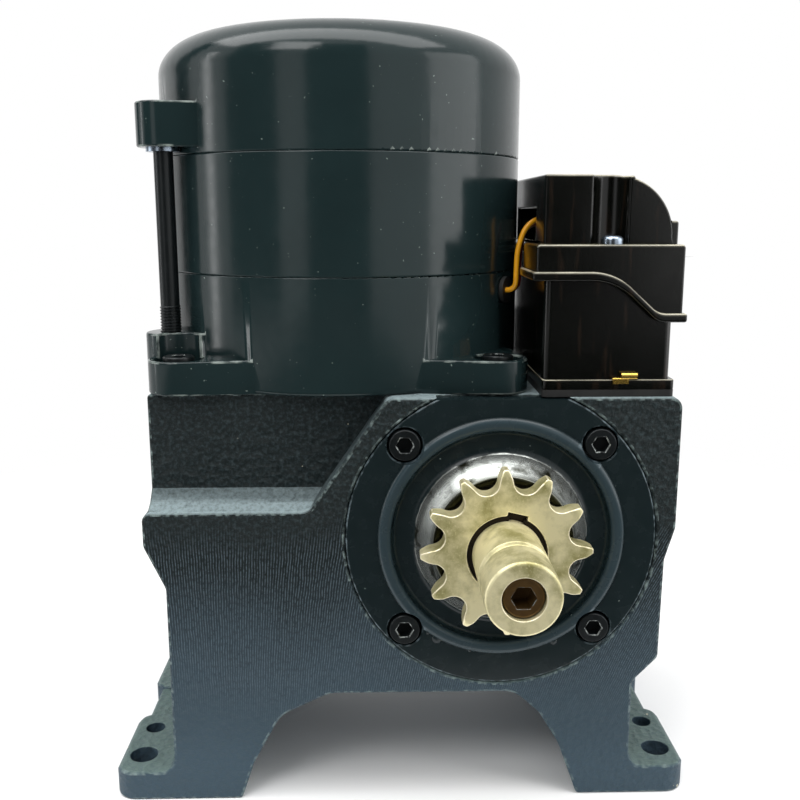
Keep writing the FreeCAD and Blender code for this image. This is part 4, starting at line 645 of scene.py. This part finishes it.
class GATEMOTOR_OT_gearbox(bpy.types.Operator):
    """Cast gearbox housing with its oil plugs"""
    bl_idname = "gatemotor.gearbox"
    bl_label = "Gearbox"

    def execute(self, context):
        shape = context.scene.gate_motor_shape
        bm = merged("gearbox_housing")
        rims = [(sx * x * MM, sy * y * MM) for x, y in BOLT_HOLES for sx in (-1, 1) for sy in (-1, 1)]

        def at_hole(edge):
            return any(all(math.dist(v.co.xy, rim) < HOLE_REACH * MM for v in edge.verts) for rim in rims)

        round_edges(bm, HOLE_EDGE, 2, HOLE_SHARP, at_hole)
        round_edges(bm, shape.cast_edge, shape.edge_steps, pick=lambda edge: not at_hole(edge))
        piece("cast_housing", bm, "gearbox_housing")
        for node in ("drain_plug", "level_plug", "drain_plug_washer", "level_plug_washer"):
            coat(node)
        return {"FINISHED"}


# the cover in mm, as (radius, height ahead of the casting's front face)
COVER_PROFILE = (
    (64.5, 0), (64.5, -9), (48.9, -9), (48.9, -14), (37, -14),      # flange and spigot
    (37, -26), (31.1, -26), (31.1, -10), (17, -10), (17, -6),       # seat of the front bearing
    (26.1, -6), (26.1, 9), (28.5, 9), (36.5, -2.5),                 # seat of the seal, hub and cone
    (44.9, -2.5), (46.0, 2.0), (50.8, 2.0), (51.4, 0))              # sunk ring and bead
# its softened edges, as (radius, height, rounding, how worn)
COVER_EDGES = (
    (64.5, 0, 0.7, 1.0), (28.5, 9, 0.9, 0.0), (26.1, 9, 0.5, 0.0), (46.0, 2.0, 1.9, 0.0),
    (50.8, 2.0, 1.8, 0.0), (44.9, -2.5, 1.4, 0.0), (36.5, -2.5, 2.0, 0.0))
# recess, chamfer and hole of one screw
SCREW_SEAT = ((0, 12), (8.0, 12), (8.0, 0.05), (7.4, -0.55), (7.4, -7), (4.5, -7), (4.5, -30), (0, -30))
SCREW_CIRCLE = 56.5                             # mm, radius of the circle of cover screws
SEAT_REACH = 9.0                                # mm round a screw's axis, takes in its chamfer
BEAD_SIDE = 51.2                                # mm, radius of the bead's outer side
COVER_SCREW_EDGE = 0.5 * MM                     # break on the heads of the cover screws
# where paint ran off the bead: degrees round the shaft from the right, and radius of the drop in mm
PAINT_RUNS = ((-133, 1.3), (-126, 0.9), (-121, 2.2), (-104, 0.8), (-63, 1.7), (-49, 1.1))


def paint_runs(centre):
    """Drops of paint that hang from the bead, a little taller than wide and half sunk in it."""
    runs = bmesh.new()
    for turn, large in PAINT_RUNS:
        turn = math.radians(turn)
        spot = centre + Vector((math.cos(turn), 0, math.sin(turn))) * BEAD_SIDE * MM
        drop = bmesh.ops.create_uvsphere(runs, u_segments=20, v_segments=12, radius=large * MM)["verts"]
        bmesh.ops.scale(runs, vec=(1.0, 0.5, 1.25), verts=drop)
        bmesh.ops.translate(runs, vec=spot, verts=drop)
    return runs


def slab_above(height):
    """Block that cuts the cover off at this height, where the casting ends."""
    slab = bmesh.new()
    bmesh.ops.create_cube(slab, size=1.0)
    wide, deep, tall = 150 * MM, 30 * MM, 20 * MM
    bmesh.ops.scale(slab, vec=(wide, deep, tall), verts=slab.verts)
    bmesh.ops.translate(slab, vec=(SHAFT.x, FRONT + 6 * MM, height + tall / 2), verts=slab.verts)
    return slab


def turned_cover(steps):
    """Flange, rounded bead, sunk ring and hub, spun in one; then the flat top and the screw recesses."""
    centre = Vector((SHAFT.x, FRONT, SHAFT.z))
    bm = spun(COVER_PROFILE, centre, AHEAD, steps=192)
    soften_rings(bm, centre, AHEAD, COVER_EDGES, steps + 2)
    bm = cut(bm, [paint_runs(centre)], "UNION")
    out = SCREW_CIRCLE / math.sqrt(2)
    seats = [centre + Vector((dx, 0, dz)) * MM for dx in (-out, out) for dz in (-out, out)]
    cutters = [spun(SCREW_SEAT, seat, AHEAD, steps=48) for seat in seats]
    bm = cut(bm, cutters + [slab_above(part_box("output_cover")[1][2])])
    # the chamfers round the screws are marked as worn: patchy pale rings, partly wear and partly painted
    # highlight
    with_marks(bm)
    slanted = [face for face in bm.faces if 0.3 < face.normal.dot(AHEAD) < 0.95]
    mark_worn(bm, [face for face in slanted if any(
        math.dist(face.calc_center_median().xz, seat.xz) < SEAT_REACH * MM for seat in seats)], 0.8)
    piece("turned_cover", bm, "output_cover", smooth=34.0)


class GATEMOTOR_OT_output_cover(bpy.types.Operator):
    """Round output cover with its hub, seal and four screws"""
    bl_idname = "gatemotor.output_cover"
    bl_label = "Output cover"

    def execute(self, context):
        shape = context.scene.gate_motor_shape
        turned_cover(shape.edge_steps)
        dressed("cover_screws", "cover_cap_screws", COVER_SCREW_EDGE, shape.edge_steps)
        for node in ("output_seal", "front_bearing", "rear_bearing"):
            coat(node)
        return {"FINISHED"}


class GATEMOTOR_OT_drive(bpy.types.Operator):
    """Output shaft with sprocket, key, retaining ring and release screw"""
    bl_idname = "gatemotor.drive"
    bl_label = "Sprocket and shaft"

    def execute(self, context):
        shape = context.scene.gate_motor_shape
        dressed("sprocket", "chain_sprocket", shape.machined_edge, shape.edge_steps)
        dressed("output_shaft", "shaft_nose", shape.machined_edge, shape.edge_steps)
        dressed("release_screw", "clutch_release_screw", 0.5 * shape.machined_edge, 2)
        for node in ("shaft_key", "sprocket_circlip"):
            coat(node)
        return {"FINISHED"}


ROD_HEAD_R = 6.5                                # mm, radius of a tie rod's head
THREAD_FOOT = 22.5                              # mm above the gearbox, just inside the lug
THREAD_PITCH, THREAD_TURNS, THREAD_STEPS = 1.25, 9, 32      # mm, number, and steps to a turn
THREAD_SECTION = ((3.9, 0.0), (3.9, 1.1), (4.35, 0.75), (4.35, 0.35))   # mm, radius and height


def rod_thread(name, x, y):
    """Helical ridge of the thread that shows on a tie rod above its lug."""
    base = Vector((x, y, BODY_TOP + THREAD_FOOT * MM))
    bm = bmesh.new()
    face = bm.faces.new([bm.verts.new(base + Vector((r, 0, z)) * MM) for r, z in THREAD_SECTION])
    bmesh.ops.spin(bm, geom=[face], cent=base, axis=(0, 0, 1),
                   dvec=(0, 0, THREAD_PITCH * MM / THREAD_STEPS), angle=math.tau * THREAD_TURNS,
                   steps=THREAD_STEPS * THREAD_TURNS, use_merge=False, use_duplicate=False)
    bmesh.ops.recalc_face_normals(bm, faces=bm.faces)
    made = as_object(name, bm)
    made.data.shade_smooth()
    made.data.set_sharp_from_angle(angle=math.radians(30))
    made.data.materials.append(MATERIALS[SLOT_OF["tie_rods"]])
    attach(made, frame["nodes"]["tie_rods"]["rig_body"])


SHOULDER_HEIGHT, SHOULDER_LIFT = 28.0, 0.26     # mm below the top, and the share of it taken up
CROWN_R, SHOULDER_W = 45.0, 14.0                # mm, flat middle of the cap, and width of the blend


def full_dome(bm):
    """Lift the shoulder of the cap, so that the wall runs higher and the top is flatter."""
    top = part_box("top_cap")[1][2]
    for vert in bm.verts:
        below = top - vert.co.z
        out = (vert.co.xy - MOTOR.xy).length
        share = min(max((out - CROWN_R * MM) / (SHOULDER_W * MM), 0.0), 1.0)
        if below < SHOULDER_HEIGHT * MM:
            vert.co.z += share * SHOULDER_LIFT * below
    return bm


ENAMEL_EDGE, SHIELD_SCREW_EDGE = 0.9 * MM, 0.4 * MM     # rounding under thick enamel, and on screws


class GATEMOTOR_OT_motor(bpy.types.Operator):
    """Motor casing in three parts, with its tie rods and screws"""
    bl_idname = "gatemotor.motor"
    bl_label = "Motor"

    def execute(self, context):
        shape = context.scene.gate_motor_shape
        cap = round_edges(full_dome(merged("top_cap")), ENAMEL_EDGE, shape.edge_steps)
        piece("domed_cap", cap, "top_cap")
        for node, name in (("stator_ring", "motor_ring"), ("end_shield", "lower_shield")):
            dressed(node, name, ENAMEL_EDGE, shape.edge_steps)
        dressed("end_shield_screws", "shield_cap_screws", SHIELD_SCREW_EDGE, shape.edge_steps)
        for node in ("end_shield_washers", "tie_rods", "tie_rod_washers", "lead_grommet"):
            coat(node)
        low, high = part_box("tie_rods")
        head = ROD_HEAD_R * MM
        rod_thread("left_rod_thread", low[0] + head, low[1] + head)
        rod_thread("right_rod_thread", high[0] - head, high[1] - head)
        return {"FINISHED"}


class GATEMOTOR_OT_control_box(bpy.types.Operator):
    """Moulded control box: base, cover, gasket, screws and earth terminal"""
    bl_idname = "gatemotor.control_box"
    bl_label = "Control box"

    def execute(self, context):
        shape = context.scene.gate_motor_shape
        dressed("control_box_cover", "box_cover", shape.moulded_edge, shape.edge_steps)
        dressed("control_box_base", "box_base", 0.5 * shape.moulded_edge, shape.edge_steps)
        for node in ("box_gasket", "box_screws", "cable_gland", "earth_terminal"):
            coat(node)
        return {"FINISHED"}


# radius and route of each lead in mm: out of the motor, up the gap and in at the box window
LEADS = (
    ("yellow_earth_wire", "earth_wire", 1.15,
     ((46.64, -20.21, 217.5), (50.58, -22.39, 217.5), (50.58, -22.39, 226.5), (51.18, -21.39, 236.5),
      (55.5, -20.4, 247.0), (61.5, -16.4, 248.2))),
    ("red_motor_lead", "motor_lead", 1.05,
     ((48.29, -17.24, 217.5), (52.23, -19.42, 217.5), (52.23, -19.42, 226.5), (52.83, -18.42, 236.5),
      (55.5, -13.6, 245.0), (61.5, -9.6, 246.2))),
)


class GATEMOTOR_OT_leads(bpy.types.Operator):
    """Earth wire and motor lead between the motor and the box"""
    bl_idname = "gatemotor.leads"
    bl_label = "Leads"

    def execute(self, context):
        for name, node, radius, route in LEADS:
            points = [Vector(p) * MM for p in route]
            curve = bpy.data.curves.new(name, "CURVE")
            curve.dimensions = "3D"
            curve.bevel_depth, curve.bevel_resolution, curve.resolution_u = radius * MM, 5, 10
            curve.use_fill_caps = True
            line = curve.splines.new("NURBS")
            line.points.add(len(points) - 1)
            for point, place in zip(line.points, points):
                point.co = (*place, 1.0)
            line.order_u = 3
            line.use_endpoint_u = True
            curve.materials.append(MATERIALS[SLOT_OF[node]])
            made = bpy.data.objects.new(name, curve)
            context.scene.collection.objects.link(made)
            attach(made, frame["nodes"][node]["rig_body"])
            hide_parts(node)
        return {"FINISHED"}


class GATEMOTOR_OT_inner_parts(bpy.types.Operator):
    """Finishes of the clutch, worm gear, motor and box parts inside"""
    bl_idname = "gatemotor.inner_parts"
    bl_label = "Inner parts"

    def execute(self, context):
        for node in ("push_rod", "clutch_cross_pin", "clutch_thrust_collar", "clutch_disc_springs",
                     "clutch_pressure_plate", "clutch_linings", "worm_wheel", "rotor_shaft",
                     "rotor_core", "worm_bearing", "motor_bearing", "cap_bearing", "motor_seal",
                     "stator_core", "windings", "run_capacitor", "terminal_block",
                     "terminal_bracket"):
            coat(node)
        return {"FINISHED"}


# ---------------------------------------------------------------- stage
LAMPS_AIM = Vector((0.0, 0.0, 0.17))
# name: place and size in metres, power in watts
LAMPS = {
    "overhead_softbox": ((-0.05, -0.2, 1.5), (2.6, 0.8), 30),
    "right_softbox": ((1.25, -0.35, 0.5), (0.9, 1.0), 6),
    "left_strip": ((-1.2, -0.12, 0.4), (0.12, 1.0), 1.8),
    "key_softbox": ((-0.6, -1.0, 1.3), (0.6, 0.6), 7),
}
# dark panels, in metres and in degrees round the object from its front
PANEL_DISTANCE, PANEL_FOOT, PANEL_TOP = 1.9, 0.01, 2.3
PANEL_SPANS = ((-117, -102), (-71, -37), (-20, 18))
LOW_PANEL_HALF, LOW_PANEL_Y, LOW_PANEL_Z = 0.8, -0.96, 0.002
FLOOR_HALF, FLOOR_FADE = 6.0, (0.22, 0.6)       # m, the fade by distance from the object's middle
CAMERA_PLACE = (-0.010, -0.435, 0.251)


def softbox(name, place, size, power):
    """Soft rectangular lamp that faces the middle of the object."""
    lamp = bpy.data.lights.new(name, "AREA")
    lamp.shape = "RECTANGLE"
    lamp.size, lamp.size_y = size
    lamp.energy = power
    made = bpy.data.objects.new(name, lamp)
    bpy.context.scene.collection.objects.link(made)
    made.location = place
    made.rotation_euler = (LAMPS_AIM - made.location).to_track_quat("-Z", "Y").to_euler()


def dark_panels():
    """Dark studio panels, seen only in reflections, that give the gloss its dark bands: upright ones
    round the object, and one that lies in front of it."""
    bm = bmesh.new()
    for start, stop in PANEL_SPANS:
        turn = Matrix.Rotation(math.radians(start), 3, "Z")
        ends = [bm.verts.new(turn @ Vector((0, -PANEL_DISTANCE, z))) for z in (PANEL_FOOT, PANEL_TOP)]
        bmesh.ops.spin(bm, geom=ends + [bm.edges.new(ends)], cent=(0, 0, 0), axis=(0, 0, 1),
                       angle=math.radians(stop - start), steps=12, use_merge=False)
    low = bmesh.ops.create_grid(bm, x_segments=1, y_segments=1, size=LOW_PANEL_HALF)["verts"]
    bmesh.ops.translate(bm, vec=(0.0, LOW_PANEL_Y, LOW_PANEL_Z), verts=low)
    made = as_object("dark_panels", bm)
    # black cloth: no gloss of its own
    material, tree, _ = blank("black_cloth_panel")
    shader = add(tree, "BsdfPrincipled", {"Base Color": linear("#0c0d0e"), "Roughness": 1.0,
                                          "Specular IOR Level": 0.0})
    finish(tree, shader)
    made.data.materials.append(material)
    made.visible_camera = made.visible_diffuse = made.visible_shadow = False


def shown_directly(tree):
    """1 for what the camera sees, itself or in a reflection or through glass."""
    path = add(tree, "LightPath")
    seen = add(tree, "Math", {0: path.outputs["Is Camera Ray"], 1: path.outputs["Is Glossy Ray"]},
               operation="MAXIMUM")
    return add(tree, "Math", {0: seen, 1: path.outputs["Is Transmission Ray"]}, operation="MAXIMUM")


def studio_floor(stage):
    """Matt painted board: it takes the shadow near the object and fades to the plain backdrop."""
    bm = bmesh.new()
    bmesh.ops.create_grid(bm, x_segments=8, y_segments=8, size=FLOOR_HALF)
    floor = as_object("studio_floor", bm)
    material, tree, place = blank("matt_white_floor")
    shader = add(tree, "BsdfPrincipled", {"Base Color": stage.floor, "Roughness": 0.9,
                                          "Specular IOR Level": 0.1})
    away = add(tree, "VectorMath", {0: place}, operation="LENGTH")
    fade = add(tree, "MapRange", {"Value": away.outputs["Value"], "From Min": FLOOR_FADE[0],
                                  "From Max": FLOOR_FADE[1]})
    glow = add(tree, "Emission", {"Color": (1.0, 1.0, 1.0, 1.0), "Strength": 1.0})
    far = add(tree, "Math", {0: fade, 1: shown_directly(tree)}, operation="MULTIPLY")
    both = add(tree, "MixShader", {0: far, 1: shader, 2: glow})
    finish(tree, both)
    floor.data.materials.append(material)


def plain_world(stage):
    """White backdrop that lights the object at its own lower level."""
    world = bpy.data.worlds.new("plain_studio")
    world.use_nodes = True
    tree = world.node_tree
    tree.nodes.clear()
    level = add(tree, "MapRange", {"Value": shown_directly(tree), "To Min": stage.ambient, "To Max": 1.0})
    glow = add(tree, "Background", {"Color": (1.0, 1.0, 1.0, 1.0), "Strength": level})
    add(tree, "OutputWorld", {"Surface": glow})
    bpy.context.scene.world = world


class GATEMOTOR_OT_stage(bpy.types.Operator):
    """Pale floor, soft lamps, plain world and the camera"""
    bl_idname = "gatemotor.stage"
    bl_label = "Stage"

    def execute(self, context):
        scene = context.scene
        stage = scene.gate_motor_stage
        studio_floor(stage)
        for name, (place, size, power) in LAMPS.items():
            softbox(name, place, size, power)
        dark_panels()
        plain_world(stage)
        camera = bpy.data.objects.new("camera", bpy.data.cameras.new("camera"))
        scene.collection.objects.link(camera)
        camera.data.lens = stage.lens
        camera.data.clip_start, camera.data.clip_end = 0.01, 30.0
        camera.location = CAMERA_PLACE
        camera.rotation_euler = (math.radians(90) - stage.tilt, 0.0, -stage.turn)
        scene.camera = camera
        scene.view_settings.view_transform = "Standard"
        return {"FINISHED"}


STEPS = (GATEMOTOR_OT_gearbox, GATEMOTOR_OT_output_cover, GATEMOTOR_OT_drive, GATEMOTOR_OT_motor,
         GATEMOTOR_OT_control_box, GATEMOTOR_OT_leads, GATEMOTOR_OT_inner_parts, GATEMOTOR_OT_stage)
GROUPS = {"gate_motor_paint": GateMotorPaint, "gate_motor_metal": GateMotorMetal,
          "gate_motor_shape": GateMotorShape, "gate_motor_stage": GateMotorStage}


class GATEMOTOR_PT_panel(bpy.types.Panel):
    """Lists the pieces and their settings"""
    bl_idname = "GATEMOTOR_PT_panel"
    bl_label = "Sliding gate motor"
    bl_space_type = "VIEW_3D"
    bl_region_type = "UI"
    bl_category = "Gate motor"

    def draw(self, context):
        for step in STEPS:
            self.layout.operator(step.bl_idname)
        for name in GROUPS:
            group = getattr(context.scene, name)
            for key in group.__annotations__:
                self.layout.prop(group, key)


def register():
    for group in GROUPS.values():
        bpy.utils.register_class(group)
    for name, group in GROUPS.items():
        setattr(bpy.types.Scene, name, PointerProperty(type=group))
    for step in STEPS + (GATEMOTOR_PT_panel,):
        bpy.utils.register_class(step)


def unregister():
    for step in reversed(STEPS + (GATEMOTOR_PT_panel,)):
        bpy.utils.unregister_class(step)
    for name, group in GROUPS.items():
        delattr(bpy.types.Scene, name)
        bpy.utils.unregister_class(group)


def main():
    register()
    make_materials(bpy.context.scene)
    for step in STEPS:
        group, name = step.bl_idname.split(".")
        getattr(getattr(bpy.ops, group), name)()


if __name__ == "__main__":
    main()
